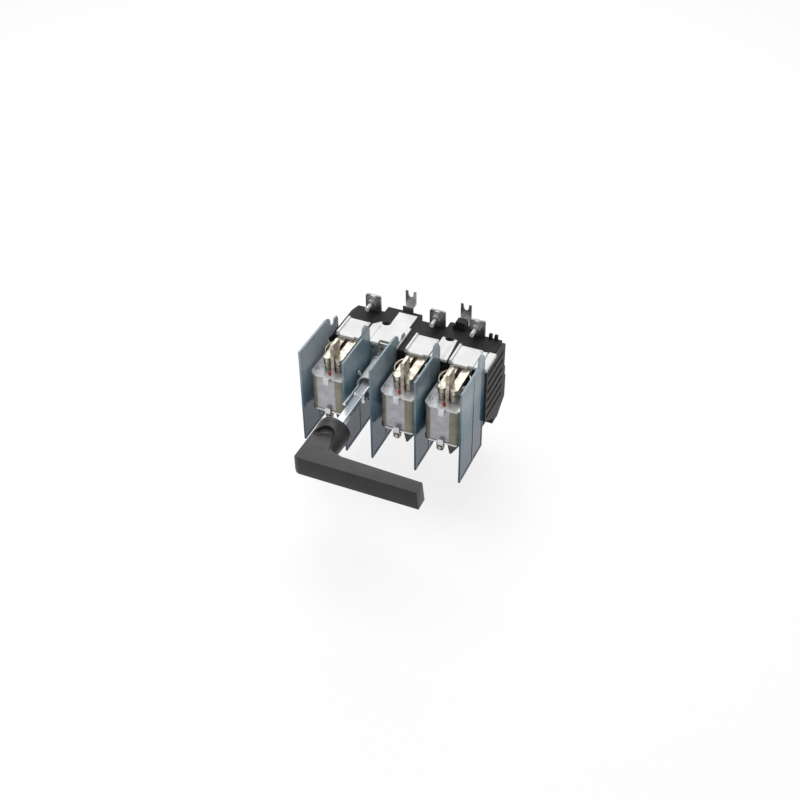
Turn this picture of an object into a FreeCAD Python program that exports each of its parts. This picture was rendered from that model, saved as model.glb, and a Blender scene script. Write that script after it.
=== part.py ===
import FreeCAD, Part
import math
import os
import re

import Sketcher
from FreeCAD import Placement, Rotation, Vector

# Fuse switch disconnector with three knife-blade fuse-links, for bolting to a panel.
# Frame: X across the poles, -Y out of the panel towards the operator, +Z up, millimetres.
# Origin: centre of the four mounting feet, in the plane of the panel.

doc = FreeCAD.newDocument("FuseSwitchDisconnector")
sheet = doc.addObject("Spreadsheet::Sheet", "Sizes")

# Driving dimensions: name, value, what it measures.
SIZES = [
    ("pole_pitch", 72, "from one pole to the next"),
    ("mechanism_gap", 44, "between the two barriers beside the mechanism"),
    ("stand_off", 14, "panel to the back of the housing"),
    ("housing_deep", 99, "back of the housing to its front face"),
    ("housing_high", 149, "overall height with covers"),
    ("front_drop", 30, "underside of the front block above the rear block"),
    ("rear_block_deep", 43, "depth of the part that reaches the bottom"),
    ("wall", 4, "housing wall"),
    ("partition", 5, "wall between two chambers"),
    ("clearance", 0.3, "gap between pieces that do not touch"),
    ("rear_cover_thick", 4, "closing plate at the back"),
    ("corner_chamfer", 12, "upper left edge of the housing"),
    ("bay_floor", 50, "floor of the terminal bays above the housing centre"),
    ("mechanism_block_left", 34, "shaft to the left side of the block behind the mechanism"),
    ("mechanism_block_right", 25, "shaft to the right side of that block"),
    ("infill_block_left", 21, "barrier to the left side of the block behind the infill"),
    ("infill_block_right", 19, "barrier to the right side of that block"),
    ("tower_left", 11, "barrier to the left side of the tower"),
    ("tower_right", 9, "barrier to the right side of the tower"),
    ("tower_deep", 13, "depth of the tower"),
    ("tower_high", 15.5, "tower above the housing"),
    ("tower_step", 5, "step in the tower's left side"),
    ("boss_radius", 5.5, "screw bosses on the housing"),
    ("boss_high", 2, "bosses above the housing"),
    ("boss_bore", 3, "radius of the recess in a boss"),
    ("peg_wide", 5, "small stops right of the last terminal"),
    ("peg_high", 9, "those stops above the housing"),
    ("peg_first", 14, "last pole to the first stop"),
    ("peg_pitch", 9, "from one stop to the next"),
    ("cover_thick", 4.5, "white covers"),
    ("cover_recess", 1.5, "depth to which covers are let in"),
    ("pole_cover_deep", 44, "front to back of a pole cover"),
    ("pole_cover_left", 21, "pole centre to the cover's left edge"),
    ("pole_cover_right", 18, "pole centre to the cover's right edge"),
    ("cover_rib_wide", 4, "raised rib on a pole cover"),
    ("cover_rib_high", 3, "height of that rib"),
    ("mechanism_cover_left", 36, "shaft to the left edge"),
    ("mechanism_cover_right", 25, "shaft to the right edge"),
    ("mechanism_cover_deep", 54, "front part of the mechanism cover"),
    ("label_field_deep", 11, "cover's narrow rear part ends in front of the housing's back"),
    ("label_field_left", 10, "shaft to its left edge"),
    ("label_field_right", 21, "shaft to its right edge"),
    ("boss_notch", 7.5, "radius of the notches round the bosses"),
    ("boss_offset", 17, "boss left of the shaft"),
    ("cover_corner", 11, "slanted back left corner of the mechanism cover"),
    ("front_notch_left", 8, "shaft to the left end of the notch in the cover's front"),
    ("front_notch_right", 10, "shaft to the right end of that notch"),
    ("front_notch_deep", 9, "depth of that notch"),
    ("infill_left", 16, "barrier to the left edge of the infill cover"),
    ("infill_right", 12, "barrier to its right edge"),
    ("infill_deep", 54, "front to back of the infill cover"),
    ("infill_taper", 4, "narrowing of the infill cover at the back"),
    ("rail_wide", 3, "rails on the covers"),
    ("rail_groove", 1, "depth of the grooves between rails"),
    ("strip_wide", 8, "narrow strip right of the last pole cover"),
    ("strip_deep", 42, "front to back of the strips"),
    ("end_strip_wide", 12, "strip on the end cover"),
    ("end_cover_thick", 6.5, "right end cover"),
    ("end_cover_rib", 1.5, "depth of the grooves in the end cover"),
    ("end_cover_low", 50, "height of the end cover's lower front corner"),
    ("end_cover_back", 24, "back edge of the end cover from the panel"),
    ("barrier_high", 171, "phase barrier"),
    ("barrier_deep", 94, "barrier in front of the housing"),
    ("barrier_rim", 3, "thickness of the barrier's rim"),
    ("barrier_web", 1.8, "thickness of its panels"),
    ("barrier_rim_wide", 4, "width of the rim"),
    ("barrier_foot", 3, "width of the barrier's turned foot"),
    ("tab_deep", 26, "rounded tab on the barrier"),
    ("tab_high", 17, "height of that tab"),
    ("tab_round", 4, "corners of the tab"),
    ("hook_round", 16, "rounded upper corner of a plugged barrier"),
    ("tongue_deep", 36, "tongue that plugs into the housing"),
    ("tongue_low", 20, "underside of the tongue below the housing top"),
    ("tongue_high", 7, "top of the tongue's hook above the housing top"),
    ("plate_thick", 2, "steel mechanism plate"),
    ("plate_half", 20, "half width of that plate"),
    ("plate_step", 7, "raised right part of its top edge"),
    ("plate_bottom", 42, "lower edge below the housing centre"),
    ("plate_hole", 2.1, "radius of the small holes"),
    ("shaft_lift", 33.5, "shaft above the housing centre"),
    ("shaft_side", 12, "square handle shaft"),
    ("shaft_front", 300, "front end of the shaft from the panel"),
    ("shaft_rear", 190, "rear end of the shaft from the panel"),
    ("coupling_side", 17, "square coupling block"),
    ("coupling_front", 200, "front end of the coupling from the panel"),
    ("coupling_rear", 137, "rear end of the coupling from the panel"),
    ("socket_play", 0.05, "play of a square end in its socket, each side"),
    ("spindle_radius", 7, "round spindle"),
    ("spindle_rear", 29, "rear end of the spindle behind the housing's front face"),
    ("guide_radius", 17.5, "white shaft guide"),
    ("guide_bore", 15.5, "bore of the guide"),
    ("guide_front", 171, "front end of the guide from the panel"),
    ("guide_flange", 19.5, "radius of the guide's flange"),
    ("guide_flange_thick", 4, "flange"),
    ("rod_radius", 2.5, "locking rod beside the shaft"),
    ("rod_offset", 12.3, "rod axis to shaft axis"),
    ("rod_angle", 152, "rod position round the shaft, degrees"),
    ("rod_front", 229, "front end of the rod from the panel"),
    ("ball_radius", 3.4, "ball head of the clamp screw"),
    ("ball_reach", 24.5, "shaft axis to the centre of the ball"),
    ("ball_angle", 132, "screw position round the shaft, degrees"),
    ("ball_screw_radius", 2, "clamp screw"),
    ("crank_throw", 10, "crank pin to shaft axis"),
    ("crank_thick", 14, "crank disc"),
    ("crank_web", 2, "closed end of the crank's bore"),
    ("crank_radius", 15, "radius of the crank disc"),
    ("crank_pin_radius", 3, "crank pin"),
    ("crank_pin_long", 12, "crank pin"),
    ("slot_play", 0.6, "pin to slot, each side"),
    ("carrier_front", 33, "contact carrier behind the housing's front face"),
    ("carrier_deep", 16, "depth of the contact carrier"),
    ("carrier_high", 12, "height of the contact carrier bar"),
    ("yoke_half", 15, "half width of the yoke"),
    ("yoke_low", 13, "underside of the yoke above the housing centre"),
    ("yoke_high", 24, "height of the yoke"),
    ("bridge_thick", 4, "moving contact bridge"),
    ("bridge_wide", 16, "moving contact bridge"),
    ("bridge_front", 16, "front end of the bridge behind the housing's front face"),
    ("bridge_long", 48, "moving contact bridge"),
    ("spring_leaf", 1, "leaf spring under the bridge"),
    ("spring_rise", 3, "height of the sprung leaf"),
    ("contact_lift", 52, "underside of the fixed contacts above the centre"),
    ("contact_thick", 4, "copper of the fixed contacts"),
    ("contact_wide", 20, "width inside the housing"),
    ("contact_foot", 36, "forward reach of the terminal's inner foot"),
    ("tail_reach", 26, "jaw tail behind the housing front"),
    ("terminal_back", 29, "rear face of the terminal bars from the panel"),
    ("terminal_wide", 26, "terminal bar"),
    ("terminal_up", 26, "terminal bar beyond the housing"),
    ("terminal_round", 4, "outer corners of the terminal bar"),
    ("terminal_inset", 6, "outer terminals inside the pole centre"),
    ("bolt_radius", 4, "terminal bolt"),
    ("bolt_core", 3.6, "free end of the bolt, at the pitch line of its thread"),
    ("bolt_front", 57, "front end of the bolt from the panel"),
    ("bolt_inset", 12, "bolt below the end of the bar"),
    ("bolt_play", 0.5, "hole round the bolt"),
    ("nut_flats", 13, "across the flats"),
    ("nut_thick", 6.5, "terminal nut"),
    ("head_thick", 6, "hexagon bolt head"),
    ("washer_radius", 12, "terminal washer"),
    ("washer_thick", 2, "terminal washer"),
    ("fuse_setback", 18, "barrier front to fuse front"),
    ("fuse_lift", 13, "fuse centre above the housing centre"),
    ("fuse_wide", 59, "ceramic body"),
    ("fuse_deep", 60, "ceramic body"),
    ("fuse_high", 61.5, "ceramic body"),
    ("fuse_corner", 11, "corner radius of the ceramic body"),
    ("blade_up", 47, "upper blade above its end plate"),
    ("blade_down", 19, "lower blade below its end plate"),
    ("end_plate", 3, "end plate"),
    ("end_plate_over", 1, "end plate beyond the ceramic"),
    ("blade_thick", 6, "knife blade"),
    ("blade_wide", 22, "knife blade"),
    ("lug_wide", 9, "gripping lug"),
    ("lug_reach", 5, "gripping lug in front of the end plate"),
    ("lug_drop", 9, "turned end of the lug"),
    ("lug_thick", 1.6, "gripping lug"),
    ("indicator_radius", 2.2, "blown-fuse indicator"),
    ("indicator_inset", 8, "indicator behind the fuse front"),
    ("indicator_high", 4, "indicator above the end plate"),
    ("arm_wide", 12.5, "jaw arm across the pole"),
    ("arm_high", 8.5, "jaw arm"),
    ("arm_over_plate", 13.7, "arm above the fuse end plate"),
    ("arm_ease", 1.5, "rounded edges of the arms"),
    ("arm_front", 34, "front of the arms behind the barrier front"),
    ("arm_play", 0.3, "arm to blade"),
    ("jaw_back", 35, "width of the jaw's back plate"),
    ("jaw_back_thick", 4, "thickness of that plate"),
    ("jaw_back_gap", 0.4, "back plate below the cover"),
    ("jaw_ledge", 15, "side ledge of the jaw"),
    ("jaw_ledge_deep", 12, "depth of that ledge"),
    ("jaw_ledge_hole", 3, "radius of its hole"),
    ("jaw_neck", 4.7, "radius of the neck under an arm's end"),
    ("jaw_neck_high", 2, "height of that neck"),
    ("jaw_cup", 6.2, "radius of the cup under an arm's end"),
    ("jaw_cup_high", 2, "height of the cup"),
    ("jaw_post", 5.2, "radius of the post under the cup"),
    ("gusset_low", 8, "pointed plate below the lower right arm"),
    ("spring_wire", 1.6, "radius of the jaw spring wire"),
    ("spring_ring", 24, "radius of the jaw spring bows"),
    ("spring_back", 27, "centre of the bows in front of the housing"),
    ("foot_thick", 2.5, "steel of the mounting feet"),
    ("foot_wide", 18, "mounting foot"),
    ("foot_leg", 36, "leg on the back of the housing"),
    ("foot_up", 6, "arm of the foot beyond the housing"),
    ("fork_high", 23, "fork of the foot"),
    ("fork_slot", 3.7, "half width of the fork's slot"),
    ("fork_slot_deep", 11, "depth of that slot"),
    ("foot_screw", 3, "radius of the foot screws"),
    ("neck_rear", 267, "rear end of the handle neck from the panel"),
    ("neck_radius", 20.5, "handle neck at its rear end"),
    ("neck_step", 0.6, "step from the collar down to the neck"),
    ("neck_flare", 24, "shaft to the left end of the grip"),
    ("neck_right", 19, "shaft to the right side of the neck at the grip"),
    ("collar_long", 14, "straight collar of the neck"),
    ("grip_front", 371, "front of the grip from the panel"),
    ("grip_deep", 21.5, "grip, front to back"),
    ("grip_high", 31, "grip"),
    ("grip_long", 190, "grip, end to end"),
    ("grip_draft", 3.5, "slant of the grip's right end"),
    ("grip_round", 4, "edges of the grip"),
    ("grip_end_round", 9, "left end of the grip"),
    ("scoop_right", 8, "shaft to the right wall of the thumb scoop"),
    ("scoop_back", 13, "scoop starts in front of the collar's rear edge"),
    ("scoop_low", 8, "lowest point of the scoop above the shaft"),
    ("scoop_long", 26, "collar side of the scoop to its lowest point"),
    ("scoop_round", 16, "rounded back end of the scoop"),
    ("scoop_flare", 9, "rounded corner where the scoop meets the grip"),
]

for row, (alias, value, note) in enumerate(SIZES, start=1):
    sheet.set(f"A{row}", note)
    sheet.set(f"B{row}", str(value))
    sheet.setAlias(f"B{row}", alias)
doc.recompute()

ALIASES = {alias for alias, value, note in SIZES}
sub_parts = []


def in_sheet(text):
    """Write the spreadsheet's name before each alias in an expression."""
    return re.sub(r"[a-z_]+[a-z0-9_]*", lambda word: "Sizes." + word.group() if word.group() in ALIASES
                  else word.group(), text)


def value_of(text):
    return float(sheet.evalExpression(in_sheet(text)))


def bind(item, prop, text):
    item.setExpression(prop, in_sheet(text))


def put(item, at):
    for letter, text in zip("xyz", at):
        bind(item, "Placement.Base." + letter, text)


def box(name, at, size):
    item = doc.addObject("Part::Box", name)
    for prop, text in zip(("Length", "Width", "Height"), size):
        bind(item, prop, text)
    put(item, at)
    return item


TURNS = {"+x": Rotation(Vector(0, 1, 0), 90), "+y": Rotation(Vector(1, 0, 0), -90),
         "-y": Rotation(Vector(1, 0, 0), 90), "+z": Rotation()}


def rod(name, way, at, radius, length):
    item = doc.addObject("Part::Cylinder", name)
    bind(item, "Radius", radius)
    bind(item, "Height", length)
    item.Placement = Placement(Vector(), TURNS[way])
    put(item, at)
    return item


def cone(name, way, at, radius, far_radius, length):
    item = doc.addObject("Part::Cone", name)
    bind(item, "Radius1", radius)
    bind(item, "Radius2", far_radius)
    bind(item, "Height", length)
    item.Placement = Placement(Vector(), TURNS[way])
    put(item, at)
    return item


def hexagon(name, way, at, flats, length):
    item = doc.addObject("Part::Prism", name)
    item.Polygon = 6
    bind(item, "Circumradius", f"({flats})/2/cos(30)")
    bind(item, "Height", length)
    item.Placement = Placement(Vector(), TURNS[way])
    put(item, at)
    return item


def join(name, items):
    item = doc.addObject("Part::MultiFuse", name)
    item.Shapes = items
    item.Refine = True
    return item


def cut(name, base, tools):
    item = doc.addObject("Part::Cut", name)
    item.Base = base
    item.Tool = tools[0] if len(tools) == 1 else join(name + "_tools", tools)
    item.Refine = True
    return item


def group(name, items):
    item = doc.addObject("Part::Compound", name)
    item.Links = items
    return item


def rounded(name, base, radius, chosen):
    """Fillet the edges of base that chosen(edge) picks."""
    doc.recompute()
    picked = [number for number, edge in enumerate(base.Shape.Edges, start=1) if chosen(edge)]
    size = value_of(radius)
    item = doc.addObject("Part::Fillet", name)
    item.Base = base
    item.Edges = [(number, size, size) for number in picked]
    return item


def runs_along(edge, letter):
    first, last = edge.Vertexes[0].Point, edge.Vertexes[-1].Point
    way = last - first
    others = [abs(getattr(way, axis)) for axis in "xyz" if axis != letter]
    return edge.Curve.TypeId == "Part::GeomLine" and max(others) < 1e-6


def keep(item, label):
    item.Label = label
    sub_parts.append(item)
    return item


def new_body(name):
    return doc.addObject("PartDesign::Body", name)


def sketch_on(body, role, offset="0"):
    plane = next(item for item in body.Origin.OriginFeatures if item.Role == role)
    sketch = body.newObject("Sketcher::SketchObject", body.Name + "_sketch")
    sketch.AttachmentSupport = [(plane, "")]
    sketch.MapMode = "FlatFace"
    bind(sketch, "AttachmentOffset.Base.z", offset)
    return sketch


def fix_point(sketch, line, end, across, up):
    for kind, text in (("DistanceX", across), ("DistanceY", up)):
        number = sketch.addConstraint(Sketcher.Constraint(kind, -1, 1, line, end, value_of(text)))
        bind(sketch, f"Constraints[{number}]", text)


def polygon(sketch, points):
    """A closed outline whose corners are pairs of expressions."""
    start = sketch.GeometryCount
    corners = [Vector(value_of(across), value_of(up), 0) for across, up in points]
    count = len(corners)
    for index in range(count):
        sketch.addGeometry(Part.LineSegment(corners[index], corners[(index + 1) % count]))
    for index in range(count):
        following = start + (index + 1) % count
        sketch.addConstraint(Sketcher.Constraint("Coincident", start + index, 2, following, 1))
        fix_point(sketch, start + index, 1, *points[index])


def circle(sketch, across, up, radius):
    centre = Vector(value_of(across), value_of(up), 0)
    ring = sketch.addGeometry(Part.Circle(centre, Vector(0, 0, 1), value_of(radius)))
    fix_point(sketch, ring, 3, across, up)
    number = sketch.addConstraint(Sketcher.Constraint("Radius", ring, value_of(radius)))
    bind(sketch, f"Constraints[{number}]", radius)


def pad(body, sketch, length, midplane=False):
    item = body.newObject("PartDesign::Pad", body.Name + "_pad")
    item.Profile = sketch
    item.Midplane = midplane
    bind(item, "Length", length)
    return item


def pocket(body, sketch, length, midplane=False):
    item = body.newObject("PartDesign::Pocket", body.Name + "_pocket")
    item.Profile = sketch
    item.Midplane = midplane
    bind(item, "Length", length)
    return item


def body_fillet(body, radius, chosen):
    doc.recompute()
    tip = body.Tip
    names = [f"Edge{number}" for number, edge in enumerate(tip.Shape.Edges, start=1) if chosen(edge)]
    item = body.newObject("PartDesign::Fillet", body.Name + "_fillet")
    item.Base = (tip, names)
    bind(item, "Radius", radius)
    return item


# Places that several pieces share.

shaft_x = "(-(mechanism_gap/2 + pole_pitch)/2)"
pole_x = {1: f"({shaft_x} - mechanism_gap/2 - pole_pitch/2)",
          2: f"({shaft_x} + mechanism_gap/2 + pole_pitch/2)",
          3: f"({shaft_x} + mechanism_gap/2 + pole_pitch*3/2)"}
barrier_x = {1: f"({shaft_x} - mechanism_gap/2 - pole_pitch)",
             2: f"({shaft_x} - mechanism_gap/2)",
             3: f"({shaft_x} + mechanism_gap/2)",
             4: f"({shaft_x} + mechanism_gap/2 + pole_pitch)",
             5: f"({shaft_x} + mechanism_gap/2 + pole_pitch*2)"}
left_x = f"({barrier_x[1]} + barrier_rim/2 + clearance)"
right_x = f"({barrier_x[5]} - barrier_rim/2)"
front_y = "(-stand_off - housing_deep)"
barrier_front_y = f"({front_y} - barrier_deep)"
cover_top_z = "(housing_high/2)"
housing_top_z = "(housing_high/2 - cover_thick + cover_recess)"
cover_seat_z = "(housing_high/2 - cover_thick)"
bottom_z = "(-housing_high/2)"
front_bottom_z = "(-housing_high/2 + front_drop)"
fuse_y = f"({barrier_front_y} + fuse_setback + fuse_deep/2)"
plate_front_y = f"({front_y} - plate_thick)"
spindle_y = f"({front_y} + spindle_rear)"
carrier_y = f"({front_y} + carrier_front)"
contact_y = "(-terminal_back - contact_thick)"
travel = "(crank_throw*2*sin(45))"
terminal_x = {1: f"({pole_x[1]} + terminal_inset)", 2: pole_x[2], 3: f"({pole_x[3]} - terminal_inset)"}
bay_y = "(-terminal_back + clearance)"
bay_x = {1: (left_x, f"({shaft_x} - mechanism_block_left)"),
         2: (f"({shaft_x} + mechanism_block_right)", f"({barrier_x[4]} - infill_block_left)"),
         3: (f"({barrier_x[4]} + infill_block_right)", right_x)}
boss_at = {1: (f"({shaft_x} - boss_offset)", f"({front_y} + mechanism_cover_deep)"),
           2: (f"({barrier_x[4]} - infill_left + infill_taper/2 + label_field_left)",
               f"({front_y} + infill_deep)")}
bridge_top_z = f"(contact_lift - {travel} - clearance)"


# Housing: a moulded shell with a chamber for each pole and the mechanism. At the back it has an
# open bay behind each terminal, above and below, with solid blocks between the bays.

def housing():
    front = box("front_block", (left_x, front_y, front_bottom_z),
                (f"{right_x} - {left_x}", "housing_deep - rear_cover_thick", f"{housing_top_z} - {front_bottom_z}"))
    rear = box("rear_block", (left_x, "-stand_off - rear_block_deep", bottom_z),
               (f"{right_x} - {left_x}", "rear_block_deep - rear_cover_thick", f"{housing_top_z} - {bottom_z}"))
    tower = new_body("tower_body")
    sketch = sketch_on(tower, "XZ_Plane", "stand_off + rear_cover_thick")
    low, high = f"({housing_top_z} - wall)", f"({housing_top_z} + tower_high)"
    left = f"({barrier_x[4]} - tower_left)"
    polygon(sketch, [(left, low), (f"{barrier_x[4]} + tower_right", low), (f"{barrier_x[4]} + tower_right", high),
                     (f"{left} + tower_step", high), (f"{left} + tower_step", f"{high} - tower_step"),
                     (left, f"{high} - 2*tower_step")])
    pad(tower, sketch, "tower_deep")
    bosses = [rod(f"boss_{number}", "+z", (*place, f"{housing_top_z} - wall"), "boss_radius", "wall + boss_high")
              for number, place in boss_at.items()]
    pegs = [box(f"peg_{row}", (f"{pole_x[3]} + peg_first + {row}*peg_pitch", f"{bay_y} - peg_wide - clearance",
                               f"{housing_top_z} - wall"), ("peg_wide", "peg_wide", "wall + peg_high"))
            for row in range(2)]
    solid = join("housing_solid", [front, rear, tower] + bosses + pegs)
    tools = []
    chambers = {number: (f"{pole_x[number]} - pole_pitch/2 + partition/2", "pole_pitch - partition")
                for number in pole_x}
    chambers[1] = (f"{left_x} + wall", f"{pole_x[1]} + pole_pitch/2 - partition/2 - {left_x} - wall")
    chambers[3] = (f"{pole_x[3]} - pole_pitch/2 + partition/2",
                   f"{right_x} - wall - {pole_x[3]} + pole_pitch/2 - partition/2")
    for number, (start, wide) in chambers.items():
        tools.append(box(f"chamber_{number}", (start, f"{front_y} + wall", f"{front_bottom_z} + wall"),
                         (wide, f"{bay_y} - wall - {front_y} - wall",
                          f"{cover_seat_z} - wall - {front_bottom_z} - wall")))
        tools.append(box(f"rear_chamber_{number}", (start, "-stand_off - rear_block_deep + wall", "-bay_floor + wall"),
                         (wide, "rear_block_deep", "2*(bay_floor - wall)")))
        tools.append(box(f"sump_{number}", (start, "-stand_off - rear_block_deep + wall", f"{bottom_z} + wall"),
                         (wide, f"rear_block_deep + stand_off - wall + {bay_y} - wall", "front_drop + wall")))
    start, wide = f"{shaft_x} - mechanism_gap/2 + partition/2", "mechanism_gap - partition"
    tools.append(box("mechanism_chamber", (start, f"{front_y} + wall", f"{front_bottom_z} + wall"),
                     (wide, "housing_deep", f"{cover_seat_z} - wall - {front_bottom_z} - wall")))
    tools.append(box("mechanism_sump", (start, "-stand_off - rear_block_deep + wall", f"{bottom_z} + wall"),
                     (wide, "rear_block_deep", "front_drop + wall")))
    tools.append(box("carrier_window", (f"{pole_x[1]}", f"{carrier_y} - 2*clearance", "yoke_low - 2*clearance"),
                     (f"{pole_x[3]} - {pole_x[1]}", "carrier_deep + 4*clearance",
                      f"yoke_high + {travel} + 4*clearance")))
    for number, (first, last) in bay_x.items():
        edge_left = f"{first} - wall" if number == 1 else first
        edge_right = f"{last} + wall" if number == 3 else last
        for name, low in (("upper", "bay_floor"), ("lower", "-bay_floor - housing_high")):
            tools.append(box(f"{name}_bay_{number}", (edge_left, bay_y, low),
                             (f"{edge_right} - ({edge_left})", "housing_deep", "housing_high")))
    for number in pole_x:
        tools.append(box(f"bar_slot_{number}",
                         (f"{terminal_x[number]} - terminal_wide/2 - clearance", f"{contact_y} - clearance",
                          "contact_lift"),
                         ("terminal_wide + 2*clearance", "contact_thick + 2*clearance", "housing_high/2")))
        tools.append(box(f"lower_bar_slot_{number}",
                         (f"{terminal_x[number]} - terminal_wide/2 - clearance", f"{contact_y} - clearance",
                          f"{bottom_z} - wall"),
                         ("terminal_wide + 2*clearance", "contact_thick + 2*clearance",
                          f"-bay_floor + 2*wall - {bottom_z} + wall")))
        for name, low in (("upper", "contact_lift - clearance"),
                          ("lower", "2*fuse_lift - contact_lift - contact_thick - clearance")):
            tools.append(box(f"{name}_tail_slot_{number}",
                             (f"{pole_x[number]} - contact_wide/2 - clearance", f"{front_y} - wall", low),
                             ("contact_wide + 2*clearance", "3*wall", "contact_thick + 2*clearance")))
        tools.append(box(f"cover_recess_{number}",
                         (f"{pole_x[number]} - pole_cover_left - clearance", f"{front_y} - wall", cover_seat_z),
                         ("pole_cover_left + pole_cover_right + 2*clearance", "pole_cover_deep + wall + clearance",
                          "wall")))
    for place, spot in boss_at.items():
        tools.append(rod(f"boss_recess_{place}", "+z", (*spot, housing_top_z), "boss_bore", "2*wall"))
    tools.append(box("strip_recess", (f"{pole_x[3]} + pole_cover_right + 2*clearance", f"{front_y} - wall", cover_seat_z),
                     ("strip_wide + 2*clearance", "strip_deep + wall + clearance", "wall")))
    tools.append(box("wide_strip_recess", (f"{right_x} - end_strip_wide/2 - clearance", f"{front_y} - wall",
                                           f"{cover_seat_z} - clearance"),
                     ("end_strip_wide", "strip_deep + wall + clearance", "2*wall")))
    tools.append(box("tongue_slot", (f"{barrier_x[3]} - barrier_web/2 - clearance", f"{front_y} - wall",
                                     f"{cover_top_z} - tongue_low - clearance"),
                     ("barrier_web + 2*clearance", "tongue_deep + wall + clearance", "housing_high")))
    tools.append(rod("spindle_hole", "+y", (shaft_x, f"{front_y} - wall", "shaft_lift"),
                     "spindle_radius + clearance", "3*wall"))
    for name, outline in (("mechanism_recess", mechanism_outline), ("infill_recess", infill_outline)):
        seat = new_body(name)
        recess = sketch_on(seat, "XY_Plane", cover_seat_z)
        polygon(recess, outline("clearance"))
        pad(seat, recess, "wall")
        tools.append(seat)
    hollow = cut("housing_hollow", solid, tools)
    chamfer = new_body("left_chamfer")
    sketch = sketch_on(chamfer, "XZ_Plane", "stand_off/2")
    polygon(sketch, [(f"{left_x} - wall", f"{housing_top_z} + wall"),
                     (f"{left_x} + corner_chamfer", f"{housing_top_z} + wall"),
                     (f"{left_x} + corner_chamfer", f"{housing_top_z}"),
                     (f"{left_x}", f"{housing_top_z} - corner_chamfer"),
                     (f"{left_x} - wall", f"{housing_top_z} - corner_chamfer")])
    pad(chamfer, sketch, "housing_deep + stand_off")
    keep(cut("housing", hollow, [chamfer]), "base_housing")


def mechanism_outline(play):
    """Outline of the mechanism cover seen from above, grown by play."""
    left, right = f"({shaft_x} - mechanism_cover_left - {play})", f"({shaft_x} + mechanism_cover_right + {play})"
    middle_y = f"({front_y} + mechanism_cover_deep + {play})"
    back_y = f"(-stand_off - label_field_deep + {play})"
    field_left, field_right = f"({shaft_x} - label_field_left - {play})", f"({shaft_x} + label_field_right + {play})"
    front = f"({front_y} - wall)" if play == "clearance" else front_y
    return [(left, front), (right, front), (right, middle_y), (field_right, middle_y), (field_right, back_y),
            (field_left, back_y), (field_left, middle_y), (f"{left} + cover_corner", middle_y),
            (left, f"{middle_y} - cover_corner")]


def infill_outline(play):
    """Outline of the infill cover seen from above, grown by play."""
    left, right = f"({barrier_x[4]} - infill_left - {play})", f"({barrier_x[4]} + infill_right + {play})"
    back_y = f"({front_y} + infill_deep + {play})"
    front = f"({front_y} - wall)" if play == "clearance" else front_y
    return [(left, front), (right, front), (f"{right} - infill_taper", back_y), (left, back_y)]


def rear_cover():
    body = new_body("rear_cover_body")
    sketch = sketch_on(body, "XZ_Plane", "stand_off")
    top = housing_top_z
    upper = [(left_x, "bay_floor"), (bay_x[1][1], "bay_floor"), (bay_x[1][1], top), (bay_x[2][0], top),
             (bay_x[2][0], "bay_floor"), (bay_x[2][1], "bay_floor"), (bay_x[2][1], top), (bay_x[3][0], top),
             (bay_x[3][0], "bay_floor"), (right_x, "bay_floor")]
    lower = [(across, "-bay_floor" if up == "bay_floor" else bottom_z) for across, up in reversed(upper)]
    polygon(sketch, upper + lower)
    pad(body, sketch, "rear_cover_thick")
    tools = []
    for column, across in foot_x.items():
        for row, sign in foot_sign.items():
            tools.append(rod(f"foot_hole_{column}_{row}", "-y",
                             (across, "-stand_off + wall", foot_screw_z(sign)), "foot_screw + clearance", "3*wall"))
    keep(cut("rear_cover_cut", body, tools), "rear_cover")


# Mounting feet: Z-bent steel strips with an open fork at the outer end.

foot_x = {"left": shaft_x, "right": barrier_x[4]}
foot_sign = {"upper": "1", "lower": "-1"}


def foot_screw_z(sign):
    return f"({sign}*(housing_high/2 - foot_leg/2))"


def mounting_foot(column, row):
    sign = foot_sign[row]
    label = f"mounting_foot_{row}_{column}"
    body = new_body(f"foot_{row}_{column}")
    sketch = sketch_on(body, "YZ_Plane", f"{foot_x[column]} - foot_wide/2")
    reach = "(housing_high/2 + foot_up)"
    inner, outer = "-stand_off", "-stand_off + foot_thick"
    polygon(sketch, [(inner, f"{sign}*(housing_high/2 - foot_leg)"), (outer, f"{sign}*(housing_high/2 - foot_leg)"),
                     (outer, f"{sign}*({reach} - foot_thick)"), ("0", f"{sign}*({reach} - foot_thick)"),
                     ("0", f"{sign}*({reach} + fork_high)"), ("-foot_thick", f"{sign}*({reach} + fork_high)"),
                     ("-foot_thick", f"{sign}*{reach}"), (inner, f"{sign}*{reach}")])
    pad(body, sketch, "foot_wide")
    doc.recompute()
    slot = sketch_on(body, "XZ_Plane")
    top = f"({reach} + fork_high)"
    throat = f"({top} - fork_slot_deep)"
    middle = foot_x[column]
    polygon(slot, [(f"{middle} - fork_slot", f"{sign}*{throat}"), (f"{middle} + fork_slot", f"{sign}*{throat}"),
                   (f"{middle} + fork_slot*1.5", f"{sign}*({top} + wall)"),
                   (f"{middle} - fork_slot*1.5", f"{sign}*({top} + wall)")])
    pocket(body, slot, "4*wall", midplane=True)
    hole = sketch_on(body, "XZ_Plane", "stand_off/2")
    circle(hole, middle, foot_screw_z(sign), "foot_screw + clearance")
    pocket(body, hole, "stand_off", midplane=True)
    throat_value = value_of(f"{sign}*{throat}")
    body_fillet(body, "fork_slot*0.8", lambda edge: runs_along(edge, "y") and edge.Length > 2
                and abs(edge.Vertexes[0].Z - throat_value) < 0.01)
    keep(body, label)


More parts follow.
